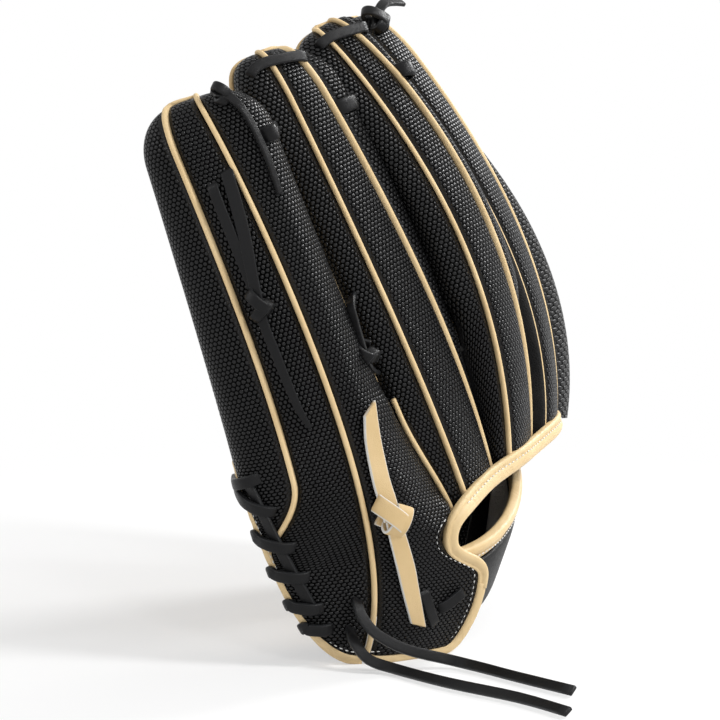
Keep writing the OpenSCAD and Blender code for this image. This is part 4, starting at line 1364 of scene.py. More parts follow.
@dataclass
class Bindings:
    """Rolled blond bindings of the heel, the wrist, the back opening and the thumb."""

    finishes: Finishes
    width: float = 5.0
    full: float = 2.2
    rim_width: float = 8.0
    rim_full: float = 3.0
    outer_share: float = 0.45
    spacing: float = 1.5
    thread_z: float = 5.6
    rim_lift: float = -1.2
    rim_spacing: float = 1.4
    rim_start: float = 7.0
    groove: float = 1.2

    def heel_at(self, u: Array, lift: float, off: float) -> Array:
        """Heel edge of the little finger, from its outer side at u = 0 to its inner welt at 1."""
        first = clamp01(1 - u / self.outer_share)
        second = clamp01((u - self.outer_share) / (1 - self.outer_share))
        outer, back = (
            CUT.leather_at(Stall.LITTLE, side, f, CUT.low_row(Stall.LITTLE, side, f, lift), off)
            for side, f in ((Side.OUTER, first), (Side.BACK, second))
        )
        return np.where(wide(u < self.outer_share), outer, back)

    def roll(
        self, name: str, path: Array, normals: Array, body: Body = Body.GLOVE
    ) -> bpy.types.Object:
        """Sweeps one rolled binding, with small puckers."""
        line = evenly(with_normals(path, normals), self.spacing)
        path, normals = line[:, :3], unit(line[:, 3:])
        run = run_of(path)
        puckers = 1 + 0.035 * np.sin(run * 1.9 + np.sin(run * 0.31) * 4)
        bm = strip_mesh(
            path, normals, self.width, CUT.leather + self.full, corner=0.72, around=20,
            height=puckers,
        )
        return Piece(finished(name, bm, self.finishes.binding), Slot.TAN, (name,), body).settle()

    def rim_section(self, around: int = 40) -> Array:
        """Section of the wide rim: a flat flange, the stitched groove and a full roll."""
        a = np.linspace(0, 2 * math.pi, around + 1) + math.pi / around
        across = self.rim_width / 2 * power(np.cos(a), 0.62)
        up = (CUT.leather + self.rim_full) / 2 * power(np.sin(a), 0.62)
        flange = smooth((across - 0.4) / 1.6)
        up = up * (1 - 0.3 * flange)
        groove = 0.95 * np.exp(-(((across - self.groove) / 0.7) ** 2))
        return np.stack([across, up - np.sign(up) * groove], axis=-1)

    @staticmethod
    def eased(line: Array, turns: int) -> Array:
        """Takes the small bends out of a line, with its ends held."""
        made = line.copy()
        for _ in range(turns * 6):
            made[1:-1] = (made[:-2] + 2 * made[1:-1] + made[2:]) / 4
        return made

    def on_flap(self, x: Array, z: Array, turns: int) -> tuple[Array, Array]:
        """Places across and rows of a line on the wrist leather, with its bends eased."""
        line = self.eased(evenly(np.stack([x, z, 0 * x], axis=1), 1.0), turns)
        return line[:, 0], CUT.flap_row(line[:, 1])

    def heel(self, sewing: Stitching) -> None:
        """Builds the binding and the thread along the little finger's heel."""
        u = np.linspace(0, 1, 180)
        lift = CUT.bound_lift
        normals = unit(self.heel_at(u, lift, -1.0) - self.heel_at(u, lift, 0.0))
        self.roll("heel_binding", self.heel_at(u, lift, CUT.leather / 2), normals)
        sewing.row("heel_thread", self.heel_at(u, self.thread_z, -0.45), normals).settle()

    def wrist(self, sewing: Stitching) -> None:
        """Builds the binding and the thread along the wrist's lower edge and up to its tongue."""
        low = CUT.bound_lift
        left = float(CUT.inner_welt(CUT.flap_row(np.array(low)))[0]) + 1.8
        z = np.linspace(low, CUT.tongue_z - 5, 70)
        below = np.linspace(left, CUT.heel_right_x, 50)[:-1]
        x, v = self.on_flap(
            np.concatenate([below, CUT.opening_edge(z) + self.width / 2]),
            np.concatenate([np.full_like(below, low), z]), 5,
        )
        self.roll("wrist_binding", CUT.flap(x, v, CUT.leather / 2), CUT.flap_normal(x, v))
        z = np.linspace(self.thread_z + 0.2, CUT.tongue_z - 1, 70)
        edge = CUT.opening_edge(z)
        below = np.linspace(left + 1.5, edge[0] - 2.2, 40)[:-1]
        x, v = self.on_flap(
            np.concatenate([below, edge - 1.5]),
            np.concatenate([np.full_like(below, self.thread_z), z]), 3,
        )
        sewing.row("wrist_thread", CUT.flap(x, v, -0.1), CUT.flap_normal(x, v)).settle()

    def rim_line(self) -> tuple[Array, int]:
        """Line of the rim with its normals, from the tongue on, and where the fingers begin."""
        lift, one = self.rim_lift, np.array(1.0)
        row = CUT.low_row(Stall.RING, Side.OUTER, one, lift)
        top = CUT.leather_at(Stall.RING, Side.OUTER, one, row)[2]
        z = np.linspace(CUT.tongue_z - self.rim_start, float(top), 60)[:-1]
        widened = smooth((z - CUT.tongue_z + self.rim_start) / (2 * self.rim_start))
        out = lerp(self.width / 2, self.rim_width / 2, widened)
        x, v = self.on_flap(CUT.opening_edge(z) + out, z, 1)
        path, normals = [CUT.flap(x, v, CUT.leather / 2)], [CUT.flap_normal(x, v)]
        both = (0.3, 0.7)
        stops = [(i, Side.BACK, both, lift, 0.9) for i in (Stall.RING, Stall.MIDDLE, Stall.INDEX)]
        for f, rise in zip(both, (1.0, 6.0)):
            stops.append((Stall.INDEX, Side.INNER, (f,), lift + rise, 3.0))
        for i, side, shares, height, proud in stops:
            f = np.array(shares)
            row = CUT.low_row(i, side, f, height)
            path.append(CUT.leather_at(i, side, f, row, -proud))
            normals.append(CUT.leather_normal(i, side, f, row))
        line = with_normals(np.concatenate(path), np.concatenate(normals))
        calm = evenly(line, self.rim_spacing)
        fingers = int(run_of(path[0])[-1] / self.rim_spacing)
        calm[fingers - 12 :] = self.eased(calm[fingers - 12 :], 6)
        return self.eased(calm, 1), fingers

    def rim(self, sewing: Stitching) -> None:
        """Builds the wide rim round the back opening and its thread."""
        line, fingers = self.rim_line()
        path, normals = line[:, :3], unit(line[:, 3:])
        at = np.arange(len(line))
        share = lerp(self.width / self.rim_width, 0.84, smooth(at / 12))
        share = lerp(share, 1.06, smooth((at - fingers + 6) / 14))
        share = lerp(share, 0.8, smooth((at - len(line) + 22) / 20))
        bm = strip_mesh(path, normals, 0, 0, profile=self.rim_section(), width=share)
        thing = finished("rim_binding", bm, self.finishes.binding)
        Piece(thing, Slot.TAN, ("rim_binding",)).settle()
        across = unit(np.cross(normals, unit(np.gradient(path, axis=0))))
        sewn = slice(fingers + 7, -2)
        seam = path + self.groove * across + 2.1 * normals
        sewing.row("rim_thread", seam[sewn], normals[sewn]).settle()
        z = np.linspace(CUT.tongue_z + 2, float(CUT.rim_low) + 9, 60)
        x, v = CUT.opening_edge(z) - 1.4, CUT.flap_row(z)
        sewing.row("notch_thread", CUT.flap(x, v, -0.1), CUT.flap_normal(x, v)).settle()

    def thumb(self) -> None:
        """Builds the binding along the thumb's heel."""
        path, normals = [], []
        for side in Side:
            f = np.linspace(0, 1, 40)
            f = 1 - f if side < 0 else f
            row = CUT.low_row(Stall.THUMB, side, f, CUT.bound_lift)
            p = CUT.leather_at(Stall.THUMB, side, f, row, CUT.leather / 2)
            n = CUT.leather_normal(Stall.THUMB, side, f, row)
            q = CUT.leather_at(Stall.THUMB, side, f, row)
            p[:, 2] = CUT.bound_lift + CUT.edge_z(Stall.THUMB, side, f, q)
            n[:, 2] = 0
            path.append(p)
            normals.append(unit(n))
        self.roll("thumb_binding", np.concatenate(path), np.concatenate(normals), Body.THUMB)

    def build(self, sewing: Stitching) -> None:
        """Builds all bindings."""
        self.heel(sewing)
        self.wrist(sewing)
        self.rim(sewing)
        self.thumb()


@dataclass
class WristStrap:
    """Padded strap round the back of the wrist, with its rolled top."""

    finishes: Finishes
    bindings: Bindings
    thick: float = 5.0
    start_x: float = 42.0
    start_z: tuple[float, float] = (12.0, 38.0)
    end_angle: float = -68.0
    end_row: tuple[float, float] = (0.07, 0.28)
    low: tuple[Triple, Triple] = ((58, 44, 12), (64, 96, 14))
    top: tuple[Triple, Triple] = ((72, 48, 38), (82, 96, 56))
    bends: tuple[float, float] = (0.12, 0.92)
    edges: list[list[Array]] = field(default_factory=list)

    def __post_init__(self) -> None:
        """Finds the two edges of the strap."""
        for z, row, mid in zip(self.start_z, self.end_row, (self.low, self.top)):
            first = CUT.flap(np.array(self.start_x), CUT.flap_row(np.array(z)), CUT.leather + 0.3)
            last = CUT.tube(Stall.THUMB, self.end_angle, row, -self.thick - 0.9)
            self.edges.append([first, np.array(mid[0], float), np.array(mid[1], float), last])

    def at(self, f: Array, g: Array, off: Array) -> Array:
        """Point of the strap, from the tongue at f = 0 to the thumb at f = 1."""
        low, top = bezier(self.edges[0], f), bezier(self.edges[1], f)
        p = lerp(low, top, wide(g))
        ahead = lerp(bezier(self.edges[0], f + 0.01), bezier(self.edges[1], f + 0.01), wide(g))
        return p - wide(off) * unit(np.cross(ahead - p, top - low))

    def build(self, sewing: Stitching) -> None:
        """Builds strap, rolled top and thread."""
        f, g = np.meshgrid(np.linspace(0, 1, 91), np.linspace(0, 1, 25))
        pillow = (1 - np.abs(2 * g - 1) ** 6) * (1 - np.abs(2 * f - 1) ** 20)
        bm = Lattice(self.at(f, g, 1.2 * (1 - pillow))).mesh()
        face_out(bm, (1, 0, 0))
        thing = finished("wrist_strap", bm, self.finishes.strap, self.finishes.felt)
        give_thickness(thing, self.thick - 0.6, inner=1)
        start, end = (self.at(np.array(f), np.array(0.5), 0.0) for f in self.bends)
        Piece(thing, Slot.BLACK, ("wrist_strap",)).bend(start, end)
        f = np.linspace(0.01, 1, 130)
        one = np.ones_like(f)
        above = np.array([0, 0, self.bindings.rim_width / 2 + 0.3])
        path = self.at(f, one, self.thick / 2) + above
        normals = unit(self.at(f, one, -1.0) - self.at(f, one, 0.0))
        profile = self.bindings.rim_section()
        tangent = unit(np.gradient(path, axis=0))
        if np.mean(np.cross(normals, tangent)[:, 2]) > 0:
            profile = profile * np.array([-1.0, 1.0])
        bm = strip_mesh(path, normals, 0, 0, profile=profile)
        thing = finished("strap_binding", bm, self.finishes.binding)
        Piece(thing, Slot.TAN, ("strap_binding",)).bend(start, end)
        seam = path + 2.6 * normals - np.array([0, 0, self.bindings.groove])
        sewing.row("strap_thread", seam[4:-3], normals[4:-3]).bend(start, end)


@dataclass
class Web:
    """Laced web between index finger and thumb: a top bar, a post and a base."""

    finishes: Finishes
    thick: float = 3.0
    bulge: float = 9.0
    lace_width: float = 4.8
    lace_thick: float = 2.0
    lace_stops: int = 16
    index_rows: tuple[float, float] = (0.46, 0.93)
    thumb_rows: tuple[float, float] = (0.40, 0.93)
    face: Triple = (1.0, 0.45, 0.1)

    def at(self, f: Array, g: Array, off: Array = 0.0) -> Array:
        """Point of the web, from the index finger at f = 0 to the thumb at f = 1."""
        f, g, off = grids(f, g, off)
        angle = np.full_like(g, CUT.side_angle)
        a = CUT.tube(Stall.INDEX, angle, lerp(*self.index_rows, g), -1.0)
        b = CUT.tube(Stall.THUMB, -angle, lerp(*self.thumb_rows, g), -1.0)
        out = self.bulge * 4 * f * (1 - f) - off - CUT.leather
        return lerp(a, b, wide(f)) + wide(out) * unit(np.array(self.face))

    def ends(self) -> tuple[Array, Array]:
        """The middles of the web's two ends, at the index finger and at the thumb."""
        return self.at(0.0, 0.5), self.at(1.0, 0.5)

    def normals(self, path: Array) -> Array:
        """Direction out of the web for each point of a line."""
        return np.broadcast_to(unit(np.array(self.face)), path.shape)

    def leather(
        self, name: str, f: tuple[float, float], g: tuple[float, float]
    ) -> bpy.types.Object:
        """Builds one leather of the web, with its edges drawn in."""
        cols, rows = 60, 40
        a, b = np.meshgrid(np.linspace(0, 1, cols + 1), np.linspace(0, 1, rows + 1))
        flat = self.at(lerp(*f, a), lerp(*g, b))
        across = np.linalg.norm(flat[:, -1] - flat[:, 0], axis=1)[:, None]
        down = np.linalg.norm(flat[-1] - flat[0], axis=1)[None, :]
        rim = np.minimum(np.minimum(a, 1 - a) * across, np.minimum(b, 1 - b) * down)
        seam = 0.55 * np.exp(-(((rim - 3.4) / 0.7) ** 2))
        rounded = 1.0 * np.exp(-((rim / 1.1) ** 2))
        bm = Lattice(self.at(lerp(*f, a), lerp(*g, b), seam + rounded)).mesh()
        face_out(bm, self.face)
        thing = finished(name, bm, self.finishes.tan, self.finishes.tan)
        give_thickness(thing, self.thick - 0.4)
        return Piece(thing, Slot.TAN, (name,)).bend(*self.ends())

    def build(self, sewing: Stitching) -> None:
        """Builds the leathers, their thread and the laces at both sides."""
        shapes = {
            "web_top": ((0.13, 0.87), (0.74, 0.98)),
            "web_post": ((0.36, 0.64), (0.264, 0.736)),
            "web_base": ((0.14, 0.86), (0.04, 0.26)),
        }
        for name, (f, g) in shapes.items():
            self.leather(name, f, g)
            for tag, place in (("low", 0.14), ("high", 0.86)):
                path = self.at(np.linspace(*f, 50)[3:-3], lerp(*g, place), -0.1)
                sewing.row(f"{name}_{tag}_thread", path, self.normals(path)).bend(*self.ends())
        parts = []
        odd = np.arange(self.lace_stops) % 2
        g = np.linspace(0.05, 0.9, self.lace_stops)
        lift = np.where(odd, -0.8, 2.4) + self.thick / 2 - 1.0
        for edge, side in ((0.075, 1), (0.925, -1)):
            path = flowing(self.at(edge + np.where(odd, 0.035, -0.035) * side, g, lift), 8)
            lace = (self.lace_width, self.lace_thick)
            parts.append(strip_mesh(path, self.normals(path), *lace, corner=0.4))
        thing = finished("web_laces", join(parts), self.finishes.lace)
        Piece(thing, Slot.LACE, ("web_laces",)).bend(*self.ends())


# Laces

Stop = tuple[float, float, float]
Turn = tuple[float, float, float, float, float]


def on_finger(i: Stall, stops: Sequence[Stop], widths: Sequence[float] | float = 1.0) -> Array:
    """Points and normals of stops on a finger.

    Args:
        i: The finger.
        stops: Angle, row and height above the leather.
        widths: Share of the lace's width at each stop.

    Returns:
        Six numbers and the share of width for each stop.
    """
    angle, row, height = np.array(stops, float).T
    share = np.broadcast_to(widths, angle.shape)
    points, normals = CUT.tube(i, angle, row, -height), CUT.tube_normal(i, angle, row)
    return np.column_stack([points, normals, share])


def on_wrist(stops: Sequence[Stop], widths: Sequence[float] | float = 1.0) -> Array:
    """Points and normals of stops on the wrist leather: share across, row and height."""
    f, row, height = np.array(stops, float).T
    points = CUT.leather_at(Stall.LITTLE, Side.INNER, f, row, -height)
    normals = CUT.leather_normal(Stall.LITTLE, Side.INNER, f, row)
    return np.column_stack([points, normals, np.broadcast_to(widths, f.shape)])


def knot_axes(face: Array) -> tuple[Array, Array]:
    """Directions to the right and up on a leather that looks along face."""
    right = unit(np.cross(np.array([0.0, 0.0, 1.0]), face))
    return right, np.cross(face, right)


@dataclass
class Laces:
    """Black rawhide laces, and the blond lace on the wrist."""

    finishes: Finishes
    width: float = 4.8
    thick: float = 2.0
    around: int = 28
    spacing: float = 0.9
    corner: float = 0.32
    heel_width: float = 5.3
    heel_thick: float = 2.6
    between_width: float = 7.0
    between_thick: float = 2.8
    knot_thick: float = 2.3
    tan_width: float = 8.6
    tan_thick: float = 1.9
    tail_face: Triple = (0.35, -0.85, 0.4)
    slit_lift: Triple = (-1.3, -8.5, 0.0)

    def strip(
        self, stops: Array, w: float, h: float = 0.0, slant: tuple[float, float] = (0, 0),
        corner: float = 0.0,
    ) -> bmesh.types.BMesh:
        """One flat lace through its stops.

        Args:
            stops: Point, normal and share of width of each stop.
            w: Width of the lace.
            h: Thickness, if not the usual one.
            slant: Slope of the cut at its two ends.
            corner: Roundness of its section, if not the usual one.

        Returns:
            The closed mesh.
        """
        line = evenly(flowing(stops, 14), self.spacing)
        path, normals, share = line[:, :3], unit(line[:, 3:6]), line[:, 6]
        return strip_mesh(
            path, normals, w, h or self.thick, corner=corner or self.corner, around=self.around,
            width=share, slant=slant,
        )

    def piece(
        self, name: str, parts: Sequence[bmesh.types.BMesh], nodes: tuple[str, ...] = (),
        body: Body = Body.GLOVE,
    ) -> None:
        """Joins strips into one black piece and lets it ride."""
        thing = finished(name, join(parts), self.finishes.lace)
        Piece(thing, Slot.LACE, nodes or (name,), body).settle()

    def tails(self) -> None:
        """Builds the two loose ends that lie on the floor."""
        routes = {
            "heel_tail_upper": (
                (-1, 6, 30), (-1, 0, 29), (1, -4, 24), (7, -6, 17), (20, -6, 10), (40, -2, 4),
                (54, -12, 3), (68, -27, 3), (91, -50, 3),
            ),
            "heel_tail_lower": (
                (-4, 7, 17), (-4, 0, 16), (-2, -5, 12), (4, -9, 6), (15, -13, 3), (38, -37, 3),
                (67, -61, 3), (87, -84, 3),
            ),
        }
        for name, route in routes.items():
            path = flowing(np.array(route, float), 4)
            normals = np.broadcast_to(unit(np.array(self.tail_face)), path.shape)
            bm = strip_mesh(
                path, normals, self.width, self.thick, corner=self.corner, around=self.around
            )
            thing = finished(name, bm, self.finishes.lace)
            Piece(thing, Slot.LACE, (name,)).settle()

    def heel(self) -> None:
        """Builds the lace along the little finger's heel: a strip and six wraps over the edge."""
        little = Stall.LITTLE
        run = (
            (-60, 0.37, 1.2), (-56, 0.345, 1.2), (-49, 0.296, 1.2), (-40, 0.23, 1.2),
            (-29, 0.159, 1.2), (-22, 0.115, 1.2),
        )
        parts = [self.strip(on_finger(little, run), self.heel_width)]
        wraps = (
            (-46, 0.37, -98), (-40, 0.309, -88), (-30, 0.242, -71), (-23, 0.186, -59),
            (-16, 0.125, -46), (-11, 0.084, -34),
        )
        heights = ((0.0, -3.4), (0.03, 0.2), (0.13, 2.3), (0.3, 3.2), (0.55, 3.1), (0.78, 2.5))
        for angle, row, last in wraps:
            edge, end_row = self.heel_edge(last)
            out = CUT.tube_normal(little, np.array(last), end_row)
            ahead, behind = (self.heel_edge(last + step)[0] for step in (3, -3))
            away = np.cross(unit(ahead - behind), out)
            laid = [(lerp(angle, last, q), lerp(row, float(end_row), q), h) for q, h in heights]
            turned = (
                (edge + 2.3 * out - 1.6 * away, out),
                (edge + 1.2 * out + 1.2 * away, unit(out + away)),
                (edge + 1.9 * away - 1.5 * out, away),
                (edge - 3 * away - 5.5 * out, -out),
            )
            ends = [np.concatenate([p, n, [1.0]]) for p, n in turned]
            stops = np.concatenate([on_finger(little, laid), ends])
            parts.append(self.strip(stops, self.heel_width, self.heel_thick, corner=0.5))
        self.piece("heel_lace", parts)

    @staticmethod
    def heel_edge(angle: float) -> tuple[Array, Array]:
        """Point and row where the heel's edge crosses an angle."""
        def above(v: Array) -> Array:
            """Height over the edge."""
            p = CUT.tube(Stall.LITTLE, np.array(angle), v)
            return p[..., 2] - CUT.heel_z(p[..., 0])

        row = bisect(above, np.array(0.0), 0.6)
        return CUT.tube(Stall.LITTLE, np.array(angle), row), row

    @staticmethod
    def thumb_edge(f: float, lift: float, off: float) -> Array:
        """Point near the thumb's lower edge."""
        row = CUT.low_row(Stall.THUMB, Side.INNER, np.array(f), lift)
        return CUT.leather_at(Stall.THUMB, Side.INNER, np.array(f), row, off)

    def thumb_heel(self) -> None:
        """Builds four wraps over the thumb's heel."""
        parts = []
        route = ((15, 1), (13, -1.6), (6, -3.4), (1, -3.4), (-2.6, 1.5), (2, 7))
        for f in np.linspace(0.15, 0.85, 4):
            points = [self.thumb_edge(f, lift, off) for lift, off in route]
            out = unit(self.thumb_edge(f, 8, -1.0) - self.thumb_edge(f, 8, 0.0))
            down = unit(self.thumb_edge(f, 4, 0.0) - self.thumb_edge(f, 12, 0.0))
            normals = [out, out, out, out, down, -out]
            stops = np.column_stack([points, normals, np.ones(len(route))])
            parts.append(self.strip(stops, self.width))
        self.piece("thumb_heel_lace", parts, body=Body.THUMB)

    def tips(self) -> None:
        """Builds the laces over the tips and the short ones between neighbouring fingers."""
        over = {
            Stall.RING: (
                (-58, 0.905, -3.5), (-50, 0.912, 1.3), (-37.5, 0.927, 2.0), (-22.5, 0.934, 2.2),
                (-8.5, 0.935, 2.2), (3, 0.932, 2.2), (20.5, 0.927, 2.0), (34.5, 0.919, 1.6),
                (46, 0.912, -3.5),
            ),
            Stall.MIDDLE: (
                (-56, 0.898, -3.5), (-48, 0.904, 1.3), (-35.5, 0.911, 2.0), (-24, 0.912, 2.2),
                (-13.5, 0.908, 2.2), (-5.5, 0.904, 2.2), (3.5, 0.897, 1.8), (12, 0.892, -3.5),
            ),
        }
        parts = [self.strip(on_finger(i, stops), self.width) for i, stops in over.items()]
        self.piece("tip_lace", parts)
        between = (
            {
                Stall.LITTLE: ((46, 0.81, -3.0), (48, 0.81, 1.6), (58, 0.81, 3.8)),
                Stall.RING: ((-60, 0.805, 4.2), (-50, 0.805, 2.2), (-47, 0.805, -3.0)),
            },
            {
                Stall.RING: ((40, 0.80, -3.0), (43, 0.80, 1.8), (54, 0.80, 4.0), (66, 0.80, 6.0)),
                Stall.MIDDLE: ((-72, 0.79, 5.0), (-62, 0.79, 2.0), (-58, 0.79, -3.0)),
            },
            {
                Stall.MIDDLE: (
                    (3, 0.79, -3.0), (6, 0.79, 1.2), (11, 0.788, 2.6), (18, 0.786, 2.2),
                    (28, 0.785, 0.2), (42, 0.785, -1.5),
                ),
                Stall.INDEX: ((-66, 0.80, 0.5),),
            },
        )
        parts = []
        for route in between:
            stops = np.concatenate([on_finger(i, part) for i, part in route.items()])
            parts.append(self.strip(stops, self.between_width, self.between_thick, corner=0.55))
        self.piece("finger_lace", parts)

    def wraps(
        self, at: Array, face: Array, w: float, h: float, turns: Sequence[Turn]
    ) -> list[bmesh.types.BMesh]:
        """Bands of lace drawn tight round a knot.

        Args:
            at: Place on the leather.
            face: Direction out of it.
            w: Width of the lace.
            h: Thickness.
            turns: Tilt in degrees, half length, half height, and shift to the right and up of
                each band.

        Returns:
            The closed meshes.
        """
        right, over = knot_axes(face)
        a = np.radians(np.linspace(-110, 270, 48))[:, None]
        made = []
        for tilt, half, high, x, y in turns:
            lean = math.cos(math.radians(tilt)) * right + math.sin(math.radians(tilt)) * over
            spiral = 0.3 * w * (a / math.pi - 0.4) * np.cross(face, lean)
            ring = (0.9 + np.sin(a)) * high * face + half * np.cos(a) * lean
            path = at + x * right + y * over + ring + spiral
            normals = unit(np.cos(a) / half * lean + np.sin(a) / high * face)
            made.append(strip_mesh(path, normals, w, h, corner=0.5, around=self.around))
        return made

    @staticmethod
    def seat(i: Stall, angle: float, row: float) -> tuple[Array, Array]:
        """Place of a knot on a finger, and the direction out of the leather there."""
        a, v = np.array(angle), np.array(row)
        return CUT.tube(i, a, v), CUT.tube_normal(i, a, v)

    def index_knot(self) -> None:
        """Builds the knot near the index finger's tip, with its end laid to the right."""
        at, face = self.seat(Stall.INDEX, -0.5, 0.93)
        right, over = knot_axes(face)
        start = on_finger(Stall.INDEX, ((-9, 0.90, -3.0), (-7, 0.907, 1.6), (-1, 0.926, 3.0)))
        free = ((3.0, 3.5, 4.0), (9.0, 7.4, 4.6), (16.0, 8.0, 4.4), (23.0, 7.4, 4.0))
        laid = unit(face + 0.5 * over)
        end = [
            np.concatenate([at + x * right + y * over + z * face, laid, [0.95]]) for x, y, z in free
        ]
        turns = ((-38, 6.4, 3.8, -0.5, 0.5), (48, 5.4, 3.4, 2.4, -1.5))
        parts = [self.strip(np.concatenate([start, end]), 5.0)]
        parts += self.wraps(at, face, 5.0, 2.4, turns)
        self.piece("index_lace", parts, ("index_knot", "index_lace"))

    def little_tip(self) -> None:
        """Builds the knot at the little finger's tip, with its end hanging down."""
        stops = (
            (30, 0.985, -2.0), (32, 0.974, 2.4), (33, 0.94, 3.4), (34, 0.87, 3.2),
            (37, 0.79, 2.8), (36, 0.735, 1.8),
        )
        tail = on_finger(Stall.LITTLE, stops, (1.0, 1.0, 0.85, 0.6, 0.6, 0.5))
        turns = ((-35, 4.2, 3.2, 0.0, 0.5), (50, 3.4, 2.8, 1.2, -2.0))
        parts = [self.strip(tail, 4.7)]
        parts += self.wraps(*self.seat(Stall.LITTLE, 32, 0.97), 4.4, self.knot_thick, turns)
        self.piece("little_tip_lace", parts, ("little_tip_knot", "little_tip_lace"))

    def little_back(self) -> None:
        """Builds the knot on the little finger's back, with two strands above and one below."""
        stops = (
            (0, 0.785, -2.5), (0, 0.775, 1.2), (-2, 0.71, 1.8), (-5.5, 0.65, 2.6),
            (-7, 0.615, 3.4), (-8, 0.585, 2.6), (-7.5, 0.55, 1.6), (-6.5, 0.51, 1.3),
            (-4.6, 0.46, 1.3), (-2, 0.43, 1.2),
        )
        widths = (1.0, 1.0, 1.0, 0.9, 0.8, 0.75, 0.75, 0.7, 0.6, 0.3)
        upper = on_finger(Stall.LITTLE, stops, widths)
        stops = ((-9, 0.775, -2.5), (-9, 0.765, 1.1), (-8.5, 0.69, 1.2), (-7, 0.625, 2.0))
        under = on_finger(Stall.LITTLE, stops)
        turns = ((-32, 5.8, 3.7, 0.0, 1.2), (58, 4.8, 3.3, 1.4, -2.6))
        parts = [self.strip(upper, 5.6), self.strip(under, 4.8)]
        parts += self.wraps(*self.seat(Stall.LITTLE, -7, 0.614), 5.0, self.knot_thick, turns)
        self.piece("little_back_lace", parts, ("little_back_lace", "little_back_knot"))

    def slit(self) -> None:
        """Builds the knot in the slit beside the ring finger, drawn forward out of it."""
        stops = (
            (-62, 0.60, -1.5), (-63, 0.59, 3.0), (-67, 0.565, 4.4), (-71, 0.53, 5.6),
            (-75, 0.505, 4.4), (-80, 0.485, -2.5),
        )
        strand = on_finger(Stall.RING, stops, (0.8, 0.8, 0.8, 0.9, 1.0, 1.0))
        strand[1:-1, :3] += self.slit_lift
        at, face = self.seat(Stall.RING, -71.5, 0.524)
        turns = ((-25, 5.0, 4.4, 0.0, 0.8), (60, 4.4, 4.0, 1.2, -2.2))
        parts = [self.strip(strand, self.width)]
        parts += self.wraps(at + self.slit_lift, face, self.width, self.knot_thick, turns)
        self.piece("slit_lace", parts)

    def wrist(self) -> None:
        """Builds the blond lace with its big knot, and the two black stitches beside it."""
        place, row = np.array(0.17), np.array(0.269)
        at = CUT.leather_at(Stall.LITTLE, Side.INNER, place, row)
        face = CUT.leather_normal(Stall.LITTLE, Side.INNER, place, row)
        stops = (
            (0.305, 0.434, 1.8), (0.27, 0.387, 1.5), (0.2, 0.328, 1.8), (0.19, 0.29, 2.6),
            (0.19, 0.265, 3.4),
        )
        upper = on_wrist(stops, (0.8, 0.95, 1.0, 1.0, 0.9))
        stops = (
            (0.19, 0.275, 3.4), (0.27, 0.248, 3.2), (0.335, 0.19, 1.6), (0.295, 0.146, 1.4),
            (0.42, 0.078, 1.4),
        )
        lower = on_wrist(stops, (0.8, 0.9, 1.0, 0.95, 0.8))
        turns = ((-32, 8.6, 4.2, 0.0, 1.5), (70, 6.4, 3.6, 4.6, -1.5))
        parts = [
            self.strip(upper, self.tan_width, self.tan_thick, slant=(-0.9, 0)),
            self.strip(lower, self.tan_width, self.tan_thick, slant=(0, 0.7)),
            *self.wraps(at, face, 8.2, self.tan_thick, turns),
        ]
        thing = finished("tan_lace", join(parts), self.finishes.tan_lace)
        Piece(thing, Slot.TAN, ("tan_lace", "tan_knot")).settle()
        stitches = (
            (
                (0.43, 0.143, -3.5), (0.435, 0.136, 0.8), (0.47, 0.118, 1.5), (0.53, 0.095, 1.5),
                (0.6, 0.076, 0.8), (0.63, 0.072, -3.5),
            ),
            (
                (0.83, 0.13, -3.5), (0.81, 0.127, 0.8), (0.77, 0.121, 1.5), (0.68, 0.109, 1.5),
                (0.62, 0.103, 0.8), (0.6, 0.102, -3.5),
            ),
        )
        self.piece("strap_lace", [self.strip(on_wrist(stops), self.width) for stops in stitches])

    def build(self) -> None:
        """Builds all laces that are laid on the leather."""
        self.heel()
        self.thumb_heel()
        self.tips()
        self.index_knot()
        self.little_tip()
        self.little_back()
        self.slit()
        self.wrist()


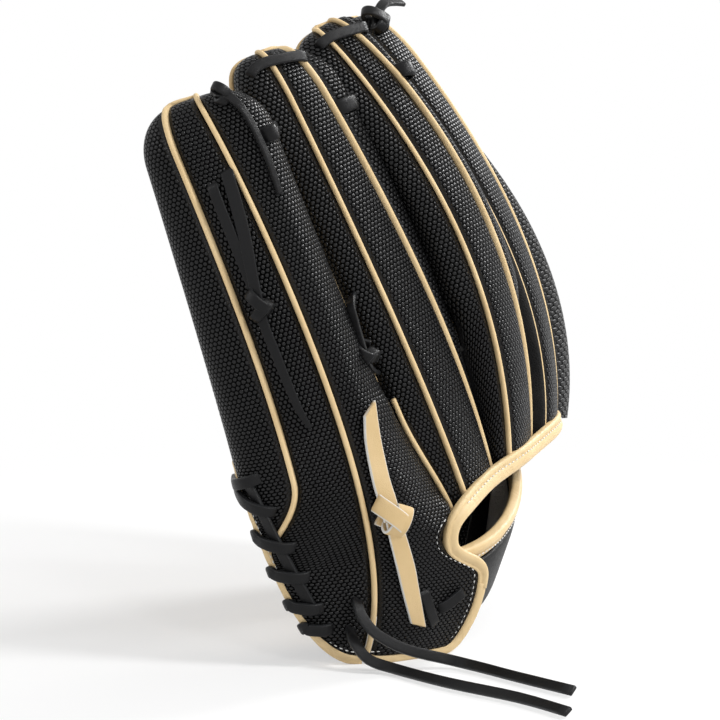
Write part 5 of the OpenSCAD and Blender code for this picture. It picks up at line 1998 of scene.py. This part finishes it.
class Studio:
    """Floor, light and camera."""

    target = Vector((0.0003, -0.0484, 0.127))
    distance = 1.7
    elevation = 10.0
    sensor = 36.0
    lens = 3777.8 / 720 * 36
    aim = Vector((0, 0, 0.14))
    floor_size = 30.0
    floor_fade = (0.1, 0.4)
    floor_white = (0.45, 1.0)

    @staticmethod
    def hang(name: str, data: bpy.types.ID, place: Vector, aim: Vector) -> bpy.types.Object:
        """Puts a lamp or a camera in its place, turned along aim."""
        thing = bpy.data.objects.new(name, data)
        thing.location = place
        thing.rotation_mode = "QUATERNION"
        thing.rotation_quaternion = aim.to_track_quat("-Z", "Y")
        bpy.context.scene.collection.objects.link(thing)
        return thing

    def camera(self) -> None:
        """Places the camera at the photograph's angle."""
        data = bpy.data.cameras.new("camera")
        data.sensor_width = self.sensor
        data.lens = self.lens
        tilt = math.radians(self.elevation)
        back = Vector((0, -math.cos(tilt), math.sin(tilt)))
        eye = self.hang("camera", data, self.target + back * self.distance, -back)
        bpy.context.scene.camera = eye

    def lamp(self, name: str, place: Triple, size: float, watts: float) -> None:
        """Adds one soft box."""
        data = bpy.data.lights.new(name, "AREA")
        data.shape = "DISK"
        data.size = size
        data.energy = watts
        self.hang(name, data, Vector(place), self.aim - Vector(place))

    def floor(self) -> None:
        """Lays a pale floor that keeps the shadow near the glove and fades to white around it."""
        bm = bmesh.new()
        bmesh.ops.create_grid(bm, x_segments=1, y_segments=1, size=self.floor_size)
        material = bpy.data.materials.new("pale floor")
        material.use_nodes = True
        tree = material.node_tree
        skin = tree.nodes["Principled BSDF"]
        skin.inputs["Base Color"].default_value = (0.93, 0.93, 0.93, 1)
        skin.inputs["Roughness"].default_value = 0.9
        skin.inputs["Specular IOR Level"].default_value = 0.1
        white = new_node(tree, "Emission", in_Color=(1, 1, 1, 1), in_Strength=1.0)
        radius = vectors(tree, "LENGTH", new_node(tree, "TexCoord").outputs["Object"])
        far = ranged(tree, radius, self.floor_fade, self.floor_white, "SMOOTHSTEP")
        share = maths(tree, "MULTIPLY", far, self.seen_rays(tree))
        self.blend(tree, share, skin, white, "Material Output")
        finished("floor", bm, material)

    @staticmethod
    def seen_rays(tree: Tree) -> Socket:
        """Socket that is 1 for rays from the camera, straight, mirrored or through glass."""
        path = new_node(tree, "LightPath").outputs
        straight = maths(tree, "MAXIMUM", path["Is Camera Ray"], path["Is Transmission Ray"])
        return maths(tree, "MAXIMUM", straight, path["Is Glossy Ray"])

    @staticmethod
    def blend(
        tree: Tree, share: Socket, own: bpy.types.Node, white: bpy.types.Node, out: str
    ) -> None:
        """Gives a tree's output a blend of two shaders."""
        mix = new_node(tree, "MixShader", in_0=share, in_1=own.outputs[0], in_2=white.outputs[0])
        tree.links.new(mix.outputs[0], tree.nodes[out].inputs["Surface"])

    def surround(self) -> None:
        """Sets a white surround that lights softly."""
        world = bpy.data.worlds.new("studio")
        bpy.context.scene.world = world
        world.use_nodes = True
        sky = world.node_tree
        light = sky.nodes["Background"]
        light.inputs["Color"].default_value = (1, 1, 1, 1)
        light.inputs["Strength"].default_value = 0.5
        white = new_node(sky, "Background", in_Color=(1, 1, 1, 1), in_Strength=1.0)
        self.blend(sky, self.seen_rays(sky), light, white, "World Output")

    def light(self) -> None:
        """Hangs the soft boxes."""
        self.lamp("key", (1.05, -0.35, 1.25), 0.35, 14)
        self.lamp("back", (1.2, 1.1, 1.1), 0.5, 24)
        self.lamp("front", (0.6, -1.4, 1.35), 0.3, 4)
        self.lamp("left", (-1.5, -0.5, 0.9), 0.4, 4)


def main() -> None:
    """Builds the glove piece by piece."""
    logging.basicConfig(level=logging.INFO, format="%(message)s")
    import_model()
    studio = Studio()
    studio.camera()
    finishes = Finishes()
    laces = Laces(finishes)
    laces.tails()
    sewing = Stitching(finishes)
    Backs(finishes).build()
    Welts(finishes).build()
    Palm(finishes).build()
    bindings = Bindings(finishes)
    bindings.build(sewing)
    WristStrap(finishes, bindings).build(sewing)
    Web(finishes).build(sewing)
    laces.build()
    studio.floor()
    studio.surround()
    studio.light()
    bpy.context.scene.view_settings.view_transform = "Standard"


if __name__ == "__main__":
    main()
